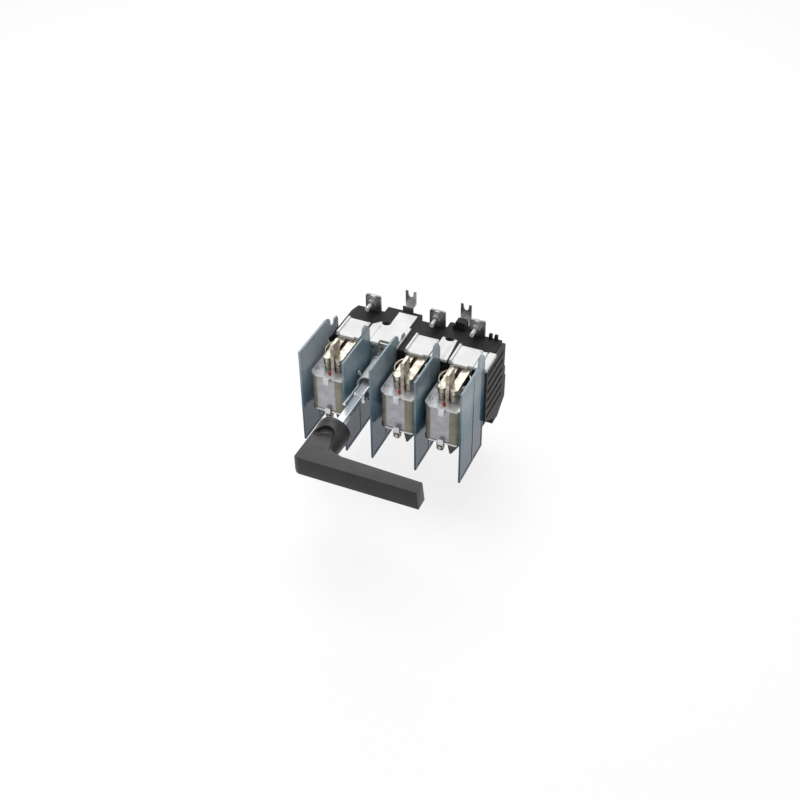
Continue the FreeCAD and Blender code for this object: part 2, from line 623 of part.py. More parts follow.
def foot_screws():
    screws = []
    for column, across in foot_x.items():
        for row, sign in foot_sign.items():
            head = rod(f"foot_head_{column}_{row}", "-y", (across, "-stand_off + foot_thick + foot_screw",
                                                           foot_screw_z(sign)), "2*foot_screw", "foot_screw")
            shank = rod(f"foot_shank_{column}_{row}", "-y", (across, "-stand_off + foot_thick + foot_screw/2",
                                                             foot_screw_z(sign)),
                        "foot_screw", "foot_thick + rear_cover_thick + foot_screw/2 - clearance")
            screws.append(join(f"foot_screw_{column}_{row}", [head, shank]))
    keep(group("foot_screw_group", screws), "foot_screws")


# White covers let into the top of the housing.

def pole_cover(number):
    left = f"({pole_x[number]} - pole_cover_left)"
    body = new_body(f"cover_profile_{number}")
    sketch = sketch_on(body, "XZ_Plane", f"-({front_y})")
    right = f"({pole_x[number]} + pole_cover_right)"
    ridge = f"({cover_top_z} + cover_rib_high)"
    polygon(sketch, [(left, cover_seat_z), (right, cover_seat_z), (right, cover_top_z),
                     (f"{left} + cover_rib_wide + rail_groove", cover_top_z), (f"{left} + cover_rib_wide", ridge),
                     (f"{left} + rail_groove", ridge), (left, cover_top_z)])
    profile = pad(body, sketch, "pole_cover_deep")
    profile.Reversed = True
    lip = box(f"cover_lip_{number}", (f"{left} + cover_rib_wide*2", f"{front_y} - cover_rib_high", cover_seat_z),
              ("pole_cover_left + pole_cover_right - cover_rib_wide*4", "cover_rib_high + wall", "cover_thick"))
    nub = rod(f"cover_nub_{number}", "+z", (f"{right} - rail_wide", f"{front_y} + pole_cover_deep - rail_wide",
                                            cover_seat_z), "rail_wide/2", "cover_thick + cover_rib_high/2")
    keep(join(f"cover_whole_{number}", [body, lip, nub]), f"pole_cover_{number}")


def mechanism_cover():
    body = new_body("mechanism_cover_body")
    sketch = sketch_on(body, "XY_Plane", cover_seat_z)
    polygon(sketch, mechanism_outline("0"))
    pad(body, sketch, "cover_thick")
    slot = box("mechanism_cover_slot", (f"{barrier_x[3]} - barrier_web/2 - clearance", f"{front_y} - wall",
                                        f"{cover_seat_z} - wall"),
               ("barrier_web + 2*clearance", "tongue_deep + wall + clearance", "3*wall"))
    guide = box("mechanism_cover_guide", (f"{barrier_x[2]} - barrier_web/2 - clearance", f"{front_y} - wall",
                                          f"{cover_top_z} - cover_recess"),
                ("barrier_web + 2*clearance", "mechanism_cover_deep - cover_corner + wall", "wall"))
    notch = rod("mechanism_cover_notch", "+z", (*boss_at[1], f"{cover_seat_z} - wall"), "boss_notch", "3*wall")
    mouth = box("mechanism_cover_mouth", (f"{shaft_x} - front_notch_left", f"{front_y} - wall",
                                          f"{cover_seat_z} - wall"),
                ("front_notch_left + front_notch_right", "front_notch_deep + wall", "3*wall"))
    keep(cut("mechanism_cover_cut", body, [slot, guide, notch, mouth]), "mechanism_cover")


def infill_cover():
    body = new_body("infill_cover_body")
    sketch = sketch_on(body, "XY_Plane", cover_seat_z)
    polygon(sketch, infill_outline("0"))
    pad(body, sketch, "cover_thick")
    tools = [rod("infill_notch_tool", "+z", (*boss_at[2], f"{cover_seat_z} - wall"), "boss_notch", "3*wall")]
    for row in (1, 2):
        tools.append(box(f"infill_groove_{row}",
                         (f"{barrier_x[4]} + infill_right - infill_taper - {row}*rail_wide", f"{front_y} - wall",
                          f"{cover_top_z} - rail_groove"), ("rail_wide/2", "infill_deep + 2*wall", "wall")))
    keep(cut("infill_cut", body, tools), "infill_cover")


def strips():
    strip = box("strip", (f"{pole_x[3]} + pole_cover_right + 3*clearance", front_y, cover_seat_z),
                ("strip_wide", "strip_deep", "cover_thick"))
    keep(rounded("strip_round", strip, "cover_thick/4", lambda edge: runs_along(edge, "y")
                 and edge.Vertexes[0].Z > value_of(cover_seat_z) + 1), "narrow_end_strip")
    wide = box("wide_strip", (f"{right_x} - end_strip_wide/2", front_y, cover_seat_z),
               ("end_strip_wide", "strip_deep", "cover_thick + cover_recess"))
    keep(rounded("wide_strip_round", wide, "cover_thick/4", lambda edge: runs_along(edge, "y")
                 and edge.Vertexes[0].Z > value_of(cover_seat_z) + 1), "wide_end_strip")


def end_cover():
    body = new_body("end_cover_body")
    start = f"({right_x} + clearance)"
    sketch = sketch_on(body, "YZ_Plane", start)
    top = f"({cover_seat_z} - clearance)"
    polygon(sketch, [(front_y, top), (front_y, f"{bottom_z} + end_cover_low"),
                     ("-stand_off - rear_block_deep", f"{bottom_z} + 4*wall"),
                     ("-end_cover_back", f"{bottom_z} + 9*wall"), ("-end_cover_back", "wall"),
                     ("-end_cover_back - wall", "2*wall"), ("-end_cover_back - wall", "6*wall"),
                     ("-end_cover_back - 2*wall", "7*wall"), ("-end_cover_back - 2*wall", top)])
    pad(body, sketch, "end_cover_thick")
    doc.recompute()
    seat = box("end_cover_seat", (f"{right_x} - end_strip_wide/2 - clearance", f"{front_y} - wall",
                                  f"{cover_seat_z} - clearance"),
               ("end_strip_wide + 2*clearance", "strip_deep + wall", "housing_high"))
    grooves = []
    rows = 6
    for row in range(rows):
        grooves.append(box(f"end_groove_{row}", (f"{start} + end_cover_thick - end_cover_rib",
                                                 f"{front_y} + wall", f"{cover_top_z} - {row + 1}*4*wall"),
                           ("end_cover_rib + wall", "housing_deep - 8*wall", "1.5*wall")))
    keep(cut("end_cover_cut", body, [seat] + grooves), "right_end_cover")


# Phase barriers: clear moulded sheets with a raised rim. The two left-hand ones have a tongue
# that plugs into the housing, the others a rounded tab.

def barrier(number):
    plugged = number in (1, 3)
    label = f"phase_barrier_{number}"
    body = new_body(f"barrier_sheet_{number}")
    sketch = sketch_on(body, "YZ_Plane", barrier_x[number])
    back_y = f"({front_y} - clearance)"
    top = f"({bottom_z} + barrier_high)"
    low_back = [(barrier_front_y, bottom_z), (back_y, bottom_z)]
    if plugged:
        outline = low_back + [(back_y, f"{top} - hook_round*0.1"), (f"{back_y} - hook_round*0.4", top),
                              (barrier_front_y, top)]
    else:
        outline = low_back + [(back_y, top), (f"{back_y} - tab_deep*0.27", f"{top} + tab_high*0.65"),
                              (f"{back_y} - tab_deep*0.54", f"{top} + tab_high"),
                              (f"{back_y} - tab_deep*0.81", f"{top} + tab_high*0.94"),
                              (f"{back_y} - tab_deep", top), (barrier_front_y, top)]
    polygon(sketch, outline)
    pad(body, sketch, "barrier_rim", midplane=True)
    top_value = value_of(top)
    if not plugged:
        body_fillet(body, "tab_round", lambda edge: runs_along(edge, "x")
                    and edge.Vertexes[0].Z > top_value + 5)
    doc.recompute()
    for side, offset in (("left", "barrier_web/2"), ("right", "barrier_web/2")):
        recess = sketch_on(body, "YZ_Plane",
                           f"{barrier_x[number]} {'+' if side == 'right' else '-'} {offset}")
        low, high = f"({bottom_z} + barrier_rim_wide)", f"({top} - barrier_rim_wide)"
        first = f"({barrier_front_y} + barrier_rim_wide)"
        middle = f"({barrier_front_y} + barrier_deep*0.56)"
        last = f"({back_y} - barrier_rim_wide)"
        polygon(recess, [(first, low), (f"{middle} - barrier_rim_wide/2", low),
                         (f"{middle} - barrier_rim_wide/2", high), (first, high)])
        polygon(recess, [(f"{middle} + barrier_rim_wide/2", low), (last, low), (last, high),
                         (f"{middle} + barrier_rim_wide/2", high)])
        face = pocket(body, recess, "barrier_rim")
        face.Reversed = side == "right"
    if plugged:
        tongue = new_body(f"barrier_tongue_{number}")
        plug = sketch_on(tongue, "YZ_Plane", barrier_x[number])
        low = f"({cover_top_z} - tongue_low)"
        start_y = f"({front_y} - 2*barrier_rim_wide)"
        hook_y = f"({front_y} + tongue_deep)"
        dip, hook = f"({cover_top_z} + clearance)", f"({cover_top_z} + tongue_high)"
        crest_y = f"({front_y} + hook_round*0.65)"
        polygon(plug, [(start_y, low), (hook_y, low), (hook_y, dip), (f"{hook_y} - tongue_deep/9", hook),
                       (f"{hook_y} - tongue_deep/3", hook), (f"{hook_y} - tongue_deep/2.4", dip),
                       (f"{hook_y} - tongue_deep*0.6", dip), (crest_y, f"{top} - hook_round*1.2"),
                       (crest_y, top), (start_y, top)])
        pad(tongue, plug, "barrier_web", midplane=True)
        crest_value = value_of(crest_y)
        body_fillet(tongue, "hook_round", lambda edge: runs_along(edge, "x")
                    and abs(edge.Vertexes[0].Z - top_value) < 0.01 and abs(edge.Vertexes[0].Y - crest_value) < 0.01)
        keep(join(f"barrier_whole_{number}", [body, tongue]), label)
    else:
        keep(body, label)


# Mechanism front: steel plate, white guide, coupling and shaft.

def mechanism_plate():
    body = new_body("mechanism_plate_body")
    sketch = sketch_on(body, "XZ_Plane", f"-({front_y})")
    left, right = f"({shaft_x} - plate_half)", f"({shaft_x} + plate_half)"
    low, high = "(-plate_bottom)", f"({cover_seat_z} - clearance)"
    polygon(sketch, [(left, low), (right, low), (right, f"{high} + plate_step"),
                     (f"{right} - plate_half*1.2", f"{high} + plate_step"), (f"{right} - plate_half*1.2", high),
                     (left, high)])
    pad(body, sketch, "plate_thick")
    tools = [rod("plate_bore", "+y", (shaft_x, f"{front_y} - 2*wall", "shaft_lift"),
                 "spindle_radius + 2*clearance", "4*wall")]
    for index, (across, up) in enumerate(plate_holes):
        tools.append(rod(f"plate_hole_{index}", "+y", (f"{shaft_x} + ({across})", f"{front_y} - 2*wall", up),
                         "plate_hole", "4*wall"))
    for index, (across, up) in enumerate(plate_screws_at):
        tools.append(rod(f"plate_screw_hole_{index}", "+y", (f"{shaft_x} + ({across})", f"{front_y} - 2*wall", up),
                         "plate_hole + clearance", "4*wall"))
    keep(cut("mechanism_plate_cut", body, tools), "mechanism_plate")


plate_holes = [("-plate_half*0.78", f"{cover_seat_z} - 2*plate_hole"),
               ("0", f"{cover_seat_z} - 2*plate_hole")]
plate_screws_at = [("-plate_half*0.3", "shaft_lift + guide_flange + plate_hole*1.5 - 2"),
                   ("-plate_half*0.7", "-plate_bottom + 3*plate_hole"),
                   ("plate_half*0.7", "-plate_bottom + 3*plate_hole")]


def shaft_guide():
    tube = rod("guide_tube", "+y", (shaft_x, "-guide_front", "shaft_lift"), "guide_radius",
               f"guide_front + {plate_front_y}")
    flange = rod("guide_flange_disc", "-y", (shaft_x, plate_front_y, "shaft_lift"), "guide_flange",
                 "guide_flange_thick")
    bore = rod("guide_bore_tool", "+y", (shaft_x, "-guide_front - wall", "shaft_lift"), "guide_bore",
               "guide_front + wall")
    slot_hole = rod("guide_screw_hole", "+z", ("0", "0", "0"), "ball_screw_radius + clearance", "ball_reach")
    doc.recompute()
    slot_hole.Placement.Rotation = Rotation(Vector(0, 1, 0), 90 - value_of("ball_angle"))
    put(slot_hole, (shaft_x, ball_y, "shaft_lift"))
    keep(cut("guide_cut", join("guide_whole", [tube, flange]), [bore, slot_hole]), "shaft_guide")


ball_y = "(-guide_front + 3*ball_screw_radius)"


def clamp_screw():
    angle = "ball_angle"
    ball = doc.addObject("Part::Sphere", "clamp_ball")
    bind(ball, "Radius", "ball_radius")
    ball.Placement.Rotation = Rotation(Vector(0, 1, 0), 90 - value_of(angle))
    put(ball, (f"{shaft_x} + ball_reach*cos({angle})", ball_y, f"shaft_lift + ball_reach*sin({angle})"))
    shank = rod("clamp_shank", "+z", ("0", "0", "0"), "ball_screw_radius", "ball_reach - guide_bore + clearance")
    shank.Placement.Rotation = Rotation(Vector(0, 1, 0), 90 - value_of(angle))
    put(shank, (f"{shaft_x} + (guide_bore - clearance)*cos({angle})", ball_y,
                f"shaft_lift + (guide_bore - clearance)*sin({angle})"))
    keep(join("clamp_screw_whole", [ball, shank]), "clamp_screw")


def shaft_line():
    side = "shaft_side"
    shaft = box("shaft_bar", (f"{shaft_x} - {side}/2", "-shaft_front", f"shaft_lift - {side}/2"),
                (side, "shaft_front - shaft_rear", side))
    keep(rounded("shaft_round", shaft, "shaft_side/12", lambda edge: runs_along(edge, "y")), "handle_shaft")

    side = "coupling_side"
    block = box("coupling_block", (f"{shaft_x} - {side}/2", "-coupling_front", f"shaft_lift - {side}/2"),
                (side, "coupling_front - coupling_rear", side))
    eased = rounded("coupling_round", block, "coupling_side/8", lambda edge: runs_along(edge, "y"))
    socket = box("coupling_socket", (f"{shaft_x} - shaft_side/2 - socket_play", "-coupling_front - wall",
                                     "shaft_lift - shaft_side/2 - socket_play"),
                 ("shaft_side + 2*socket_play", "coupling_front - shaft_rear + wall + clearance",
                  "shaft_side + 2*socket_play"))
    bore = rod("coupling_bore", "-y", (shaft_x, "-coupling_rear + wall", "shaft_lift"),
               "spindle_radius + socket_play", "6*wall")
    ear = rod("rod_ear", "-y", (rod_at[0], "-coupling_rear", rod_at[1]), "1.2*rod_radius",
              "3*wall")
    whole = join("coupling_whole", [eased, ear])
    rod_seat = rod("rod_seat", "-y", (rod_at[0], "-coupling_rear + wall", rod_at[1]), "rod_radius/2 + socket_play",
                   "coupling_front")
    keep(cut("coupling_cut", whole, [socket, bore, rod_seat]), "shaft_coupling")

    spindle = rod("spindle_rod", "-y", (shaft_x, spindle_y, "shaft_lift"), "spindle_radius",
                  f"coupling_rear + {spindle_y} + 4*wall")
    keep(spindle, "drive_spindle")


rod_at = (f"({shaft_x} + rod_offset*cos(rod_angle))", "(shaft_lift + rod_offset*sin(rod_angle))")


def locking_rod():
    thin = rod("rod_thin", "-y", (rod_at[0], "-coupling_rear - clearance", rod_at[1]), "rod_radius/2",
               "rod_front - coupling_rear - clearance")
    front = rod("rod_tip", "+y", (rod_at[0], "-rod_front", rod_at[1]), "rod_radius", "rod_radius*6")
    keep(join("locking_rod_whole", [thin, front]), "locking_rod")


def crank():
    pin_x = f"({shaft_x} - crank_throw*cos(45))"
    pin_z = "(shaft_lift - crank_throw*sin(45))"
    disc = rod("crank_disc", "-y", (shaft_x, f"{spindle_y} + crank_web", "shaft_lift"), "crank_radius",
               "crank_thick")
    bore = rod("crank_bore", "-y", (shaft_x, f"{spindle_y} + clearance", "shaft_lift"),
               "spindle_radius + socket_play", "crank_thick + wall")
    pin = rod("crank_pin", "+y", (pin_x, f"{spindle_y} - clearance", pin_z), "crank_pin_radius", "crank_pin_long")
    keep(join("crank_whole", [cut("crank_ring", disc, [bore]), pin]), "drive_crank")


# Moving contacts: a yoke driven by the crank pin lifts an insulating bar with three bridges.

def contact_carrier():
    bar_z = f"({bridge_top_z} - bridge_thick - spring_rise - carrier_high)"
    bar = box("carrier_bar", (f"{pole_x[1]} - bridge_wide", carrier_y, bar_z),
              (f"{pole_x[3]} - {pole_x[1]} + 2*bridge_wide", "carrier_deep", "carrier_high"))
    yoke = box("carrier_yoke", (f"{shaft_x} - yoke_half", carrier_y, "yoke_low"),
               ("2*yoke_half", "carrier_deep", "yoke_high"))
    whole = join("carrier_whole", [bar, yoke])
    slot_half = "(crank_pin_radius + slot_play)"
    slot_z = f"(shaft_lift - crank_throw*sin(45) - {slot_half})"
    slot = box("yoke_slot", (f"{shaft_x} - crank_throw - {slot_half}", f"{carrier_y} - wall", slot_z),
               (f"crank_throw*(1 - cos(45)) + 2*{slot_half}", "carrier_deep - wall/2", f"2*{slot_half}"))
    keep(cut("carrier_cut", whole, [slot]), "contact_carrier")


def bridges():
    bars, leaves = [], []
    for number in pole_x:
        bar = box(f"bridge_bar_{number}", (f"{pole_x[number]} - bridge_wide/2", f"{front_y} + bridge_front",
                                           f"{bridge_top_z} - bridge_thick"),
                  ("bridge_wide", "bridge_long", "bridge_thick"))
        bars.append(rounded(f"bridge_round_{number}", bar, "bridge_thick/3", lambda edge: runs_along(edge, "x")))
        seat_z = f"({bridge_top_z} - bridge_thick - spring_rise)"
        body = new_body(f"bridge_spring_{number}")
        sketch = sketch_on(body, "YZ_Plane", pole_x[number])
        half = "carrier_deep/2"
        middle = f"({carrier_y} + {half})"
        rise = "(spring_rise - spring_leaf)"
        polygon(sketch, [(f"{middle} - {half}", seat_z), (f"{middle} - {half}*0.6", seat_z),
                         (f"{middle} - {half}*0.3", f"{seat_z} + {rise}"), (f"{middle} + {half}*0.3", f"{seat_z} + {rise}"),
                         (f"{middle} + {half}*0.6", seat_z), (f"{middle} + {half}", seat_z),
                         (f"{middle} + {half}", f"{seat_z} + spring_leaf"),
                         (f"{middle} + {half}*0.6 + spring_leaf/2", f"{seat_z} + spring_leaf"),
                         (f"{middle} + {half}*0.3 + spring_leaf/2", f"{seat_z} + spring_rise"),
                         (f"{middle} - {half}*0.3 - spring_leaf/2", f"{seat_z} + spring_rise"),
                         (f"{middle} - {half}*0.6 - spring_leaf/2", f"{seat_z} + spring_leaf"),
                         (f"{middle} - {half}", f"{seat_z} + spring_leaf")])
        pad(body, sketch, "bridge_wide*0.8", midplane=True)
        leaves.append(body)
    keep(group("bridge_group", bars), "contact_bridges")
    keep(group("bridge_spring_group", leaves), "bridge_springs")


# Current path at each pole: terminal bar, fuse jaws and their springs.

def terminal_bar(number, upper):
    sign = "1" if upper else "-1"
    label = f"{'upper' if upper else 'lower'}_terminal_{number}"
    end_z = f"({sign}*(housing_high/2 + terminal_up))"
    middle = terminal_x[number]
    body = new_body(label + "_bar")
    sketch = sketch_on(body, "YZ_Plane", middle)
    back = "(-terminal_back)"
    foot_z = "contact_lift" if upper else "(2*fuse_lift - contact_lift - contact_thick)"
    near, far = foot_z, f"({foot_z} + contact_thick)"
    if not upper:
        near, far = far, foot_z
    reach = f"({contact_y} - contact_foot)" if upper else f"({front_y} + tail_reach + clearance)"
    polygon(sketch, [(back, end_z), (contact_y, end_z), (contact_y, far), (reach, far), (reach, near), (back, near)])
    pad(body, sketch, "terminal_wide", midplane=True)
    end_value = value_of(end_z)
    body_fillet(body, "terminal_round", lambda edge: runs_along(edge, "y")
                and abs(edge.Vertexes[0].Z - end_value) < 0.01)
    narrow = []
    for side in ("left", "right"):
        edge_x = f"{middle} - contact_wide/2 - wall*2" if side == "left" else f"{middle} + contact_wide/2"
        narrow.append(box(f"{label}_narrow_{side}", (edge_x, f"{front_y}", f"{foot_z} - wall"),
                          ("wall*2", f"{contact_y} - 2*wall - {front_y}", "contact_thick + 2*wall")))
    hole = rod(label + "_hole", "+y", (middle, f"{contact_y} - wall", bolt_z(sign)),
               "bolt_radius + bolt_play", "contact_thick + 2*wall")
    keep(cut(label + "_cut", body, [hole] + narrow), label)


def bolt_z(sign):
    return f"({sign}*(housing_high/2 + terminal_up - bolt_inset))"


def terminal_fasteners():
    bolts, nuts, washers = [], [], []
    for number in pole_x:
        for sign in ("1", "-1"):
            place = f"{number}_{'upper' if sign == '1' else 'lower'}"
            across, up = terminal_x[number], bolt_z(sign)
            head = hexagon(f"head_{place}", "+y", (across, "-terminal_back", up), "nut_flats", "head_thick")
            shank = rod(f"shank_{place}", "-y", (across, "-terminal_back + head_thick/2", up), "bolt_radius",
                        f"head_thick/2 + contact_thick + washer_thick + nut_thick")
            free_y = f"({contact_y} - washer_thick - nut_thick)"
            core = rod(f"core_{place}", "-y", (across, free_y, up), "bolt_core", f"bolt_front + {free_y}")
            bolts.append(join(f"bolt_{place}", [head, shank, core]))
            disc = rod(f"washer_disc_{place}", "-y", (across, contact_y, up), "washer_radius", "washer_thick")
            washer_bore = rod(f"washer_bore_{place}", "-y", (across, f"{contact_y} + wall", up),
                              "bolt_radius + clearance", "washer_thick + 2*wall")
            washers.append(cut(f"washer_{place}", disc, [washer_bore]))
            blank = hexagon(f"nut_blank_{place}", "-y", (across, f"{contact_y} - washer_thick", up), "nut_flats",
                            "nut_thick")
            nut_bore = rod(f"nut_bore_{place}", "-y", (across, f"{contact_y} + wall", up), "bolt_radius",
                           "nut_thick + washer_thick + 2*wall")
            nuts.append(cut(f"nut_{place}", blank, [nut_bore]))
    keep(group("bolt_group", bolts), "terminal_bolts")
    keep(group("nut_group", nuts), "terminal_nuts")
    keep(group("washer_group", washers), "terminal_washers")


def arm_band(upper):
    """Lowest and highest Z of the jaw arms."""
    low = "(fuse_lift + fuse_high/2 + end_plate + arm_over_plate)"
    if upper:
        return low, f"({low} + arm_high)"
    return f"(2*fuse_lift - {low} - arm_high)", f"(2*fuse_lift - {low})"


arm_front_y = f"({barrier_front_y} + arm_front)"


def jaw(number, upper):
    name = "upper" if upper else "lower"
    label = f"{name}_jaw_{number}"
    low, high = arm_band(upper)
    pole = pole_x[number]
    inner = "(blade_thick/2 + arm_play)"
    outer = f"({inner} + arm_wide)"
    pieces = []
    for side in ("left", "right"):
        sign = "-" if side == "left" else "+"
        body = new_body(f"{label}_{side}_arm")
        sketch = sketch_on(body, "XY_Plane", low)
        near, far = f"({pole} {sign} {inner})", f"({pole} {sign} {outer})"
        polygon(sketch, [(near, f"{front_y} - jaw_back_thick/2"), (far, f"{front_y} - jaw_back_thick/2"),
                         (far, arm_front_y), (near, arm_front_y)])
        pad(body, sketch, f"{high} - {low}")
        tip = value_of(arm_front_y)
        body_fillet(body, "arm_wide/2 - clearance/10", lambda edge, tip=tip: runs_along(edge, "z")
                    and abs(edge.Vertexes[0].Y - tip) < 0.01)
        pieces.append(body)
        middle, nose_y = f"({pole} {sign} {inner} {sign} arm_wide/2)", f"({arm_front_y} + arm_wide/2)"
        way = "-1" if upper else "1"
        end = low if upper else high
        for part, radius, start, length in (("neck", "jaw_neck", "0", "jaw_neck_high"),
                                            ("cup", "jaw_cup", "jaw_neck_high", "jaw_cup_high"),
                                            ("post", "jaw_post", "(jaw_neck_high + jaw_cup_high)",
                                             "(arm_over_plate - jaw_neck_high - jaw_cup_high - 2*clearance)")):
            bottom = f"{end} - {start} - {length}" if upper else f"{end} + {start}"
            pieces.append(rod(f"{label}_{side}_{part}", "+z", (middle, nose_y, bottom), radius, length))
    plate_low = "contact_lift - wall" if upper else f"2*fuse_lift - {cover_seat_z} + jaw_back_gap"
    plate_high = f"{cover_seat_z} - jaw_back_gap" if upper else "2*fuse_lift - contact_lift + wall"
    pieces.append(box(f"{label}_back", (f"{pole} - jaw_back/2", f"{front_y} - jaw_back_thick", plate_low),
                      ("jaw_back", "jaw_back_thick", f"{plate_high} - ({plate_low})")))
    tail_z = "contact_lift" if upper else "(2*fuse_lift - contact_lift - contact_thick)"
    pieces.append(box(f"{label}_tail", (f"{pole} - contact_wide/2", f"{front_y} - jaw_back_thick", tail_z),
                      ("contact_wide", "jaw_back_thick + tail_reach", "contact_thick")))
    tools = []
    if upper:
        pieces.append(box(f"{label}_ledge", (f"{pole} - jaw_back/2 - jaw_ledge", f"{front_y} - jaw_ledge_deep",
                                             f"{plate_low} + wall"),
                          ("jaw_ledge + wall", "jaw_ledge_deep - clearance", "contact_thick/2")))
        tools.append(rod(f"{label}_ledge_hole", "+z", (f"{pole} - jaw_back/2 - jaw_ledge/2",
                                                       f"{front_y} - jaw_ledge_deep/2", f"{plate_low}"),
                         "jaw_ledge_hole", "3*wall"))
    else:
        gusset = new_body(f"{label}_gusset")
        sketch = sketch_on(gusset, "XZ_Plane", f"-({arm_front_y} + arm_wide)")
        polygon(sketch, [(f"{pole} + {inner}", f"{low} + wall"), (f"{pole} + {outer}", f"{low} + wall"),
                         (f"{pole} + {outer}", low), (f"{pole} + {inner} + arm_wide/2", f"{low} - gusset_low"),
                         (f"{pole} + {inner} + arm_wide/4", f"{low} - gusset_low"), (f"{pole} + {inner}", low)])
        pad(gusset, sketch, "contact_thick/2")
        pieces.append(gusset)
    whole = join(label + "_whole", pieces)
    keep(cut(label + "_cut", whole, tools) if tools else whole, label)


def jaw_springs():
    """Wire bows that press the arms of each jaw against the blade, one on each side."""
    wire, ring = value_of("spring_wire"), value_of("spring_ring")
    gap = value_of("blade_thick/2 + arm_play + arm_wide + clearance + spring_wire")
    middle_y = value_of(f"{front_y} - spring_back")
    swing = math.acos(gap/ring)
    bows = []
    for number in pole_x:
        for upper in (True, False):
            low, high = arm_band(upper)
            centre = Vector(value_of(pole_x[number]), middle_y, value_of(f"({low} + {high})/2"))
            for turn in (0, math.pi):
                arc = Part.ArcOfCircle(Part.Circle(centre, Vector(0, 0, 1), ring), turn - swing, turn + swing)
                start = arc.value(arc.FirstParameter)
                tangent = arc.tangent(arc.FirstParameter)[0]
                profile = Part.Wire(Part.makeCircle(wire, start, tangent))
                bows.append(Part.Wire(arc.toShape()).makePipeShell([profile], True, True))
    item = doc.addObject("Part::Feature", "jaw_spring_bows")
    item.Shape = Part.makeCompound(bows)
    keep(item, "jaw_springs")


# Fuse-links: ceramic body, end plates with gripping lugs, knife blades and indicator.

def fuse_link(number):
    pole = pole_x[number]
    middle = "fuse_lift"
    ceramic = new_body(f"ceramic_{number}")
    sketch = sketch_on(ceramic, "XY_Plane", f"{middle} - fuse_high/2")
    left, right = f"({pole} - fuse_wide/2)", f"({pole} + fuse_wide/2)"
    near, far = f"({fuse_y} - fuse_deep/2)", f"({fuse_y} + fuse_deep/2)"
    polygon(sketch, [(left, near), (right, near), (right, far), (left, far)])
    pad(ceramic, sketch, "fuse_high")
    body_fillet(ceramic, "fuse_corner", lambda edge: runs_along(edge, "z"))
    keep(ceramic, f"fuse_body_{number}")

    plates, blades = [], []
    for upper in (True, False):
        name = f"fuse_{number}_{'upper' if upper else 'lower'}"
        face_z = f"({middle} + fuse_high/2)" if upper else f"({middle} - fuse_high/2 - end_plate)"
        plate = box(f"{name}_plate", (f"{left} - end_plate_over", f"{near} - end_plate_over", face_z),
                    ("fuse_wide + 2*end_plate_over", "fuse_deep + 2*end_plate_over", "end_plate"))
        eased = rounded(f"{name}_plate_round", plate, "fuse_corner", lambda edge: runs_along(edge, "z"))
        lug_z = f"({face_z} + end_plate - lug_thick)" if upper else face_z
        lug = box(f"{name}_lug", (f"{pole} - lug_wide/2", f"{near} - end_plate_over - lug_reach", lug_z),
                  ("lug_wide", "lug_reach + 2*end_plate_over", "lug_thick"))
        turn_z = f"({lug_z} - lug_drop)" if upper else lug_z
        turned = box(f"{name}_lug_turn", (f"{pole} - lug_wide/2", f"{near} - end_plate_over - lug_reach", turn_z),
                     ("lug_wide", "lug_thick", "lug_drop + lug_thick"))
        plates.append(join(f"{name}_plate_whole", [eased, lug, turned]))
        reach = "blade_up" if upper else "blade_down"
        outer_z = f"({middle} + fuse_high/2 + end_plate)" if upper else f"({middle} - fuse_high/2 - end_plate)"
        blade_z = outer_z if upper else f"({outer_z} - {reach})"
        blade = box(f"{name}_blade", (f"{pole} - blade_thick/2", f"{fuse_y} - blade_wide/2", blade_z),
                    ("blade_thick", "blade_wide", reach))
        tip_z = value_of(f"{blade_z} + {reach}" if upper else blade_z)
        blades.append(rounded(f"{name}_blade_round", blade, "blade_thick/4",
                              lambda edge, tip_z=tip_z: abs(edge.CenterOfMass.z - tip_z) < 0.01))
    keep(group(f"fuse_end_plates_{number}", plates), f"fuse_end_plates_{number}")
    keep(group(f"fuse_blades_{number}", blades), f"fuse_blades_{number}")
    lamp = rod(f"indicator_{number}", "+z", (f"{pole}", f"{near} + indicator_inset",
                                             f"{middle} + fuse_high/2 + end_plate"), "indicator_radius",
               "indicator_high")
    keep(lamp, f"fuse_indicator_{number}")


# Operating handle: a neck over the shaft and a bar grip at right angles.

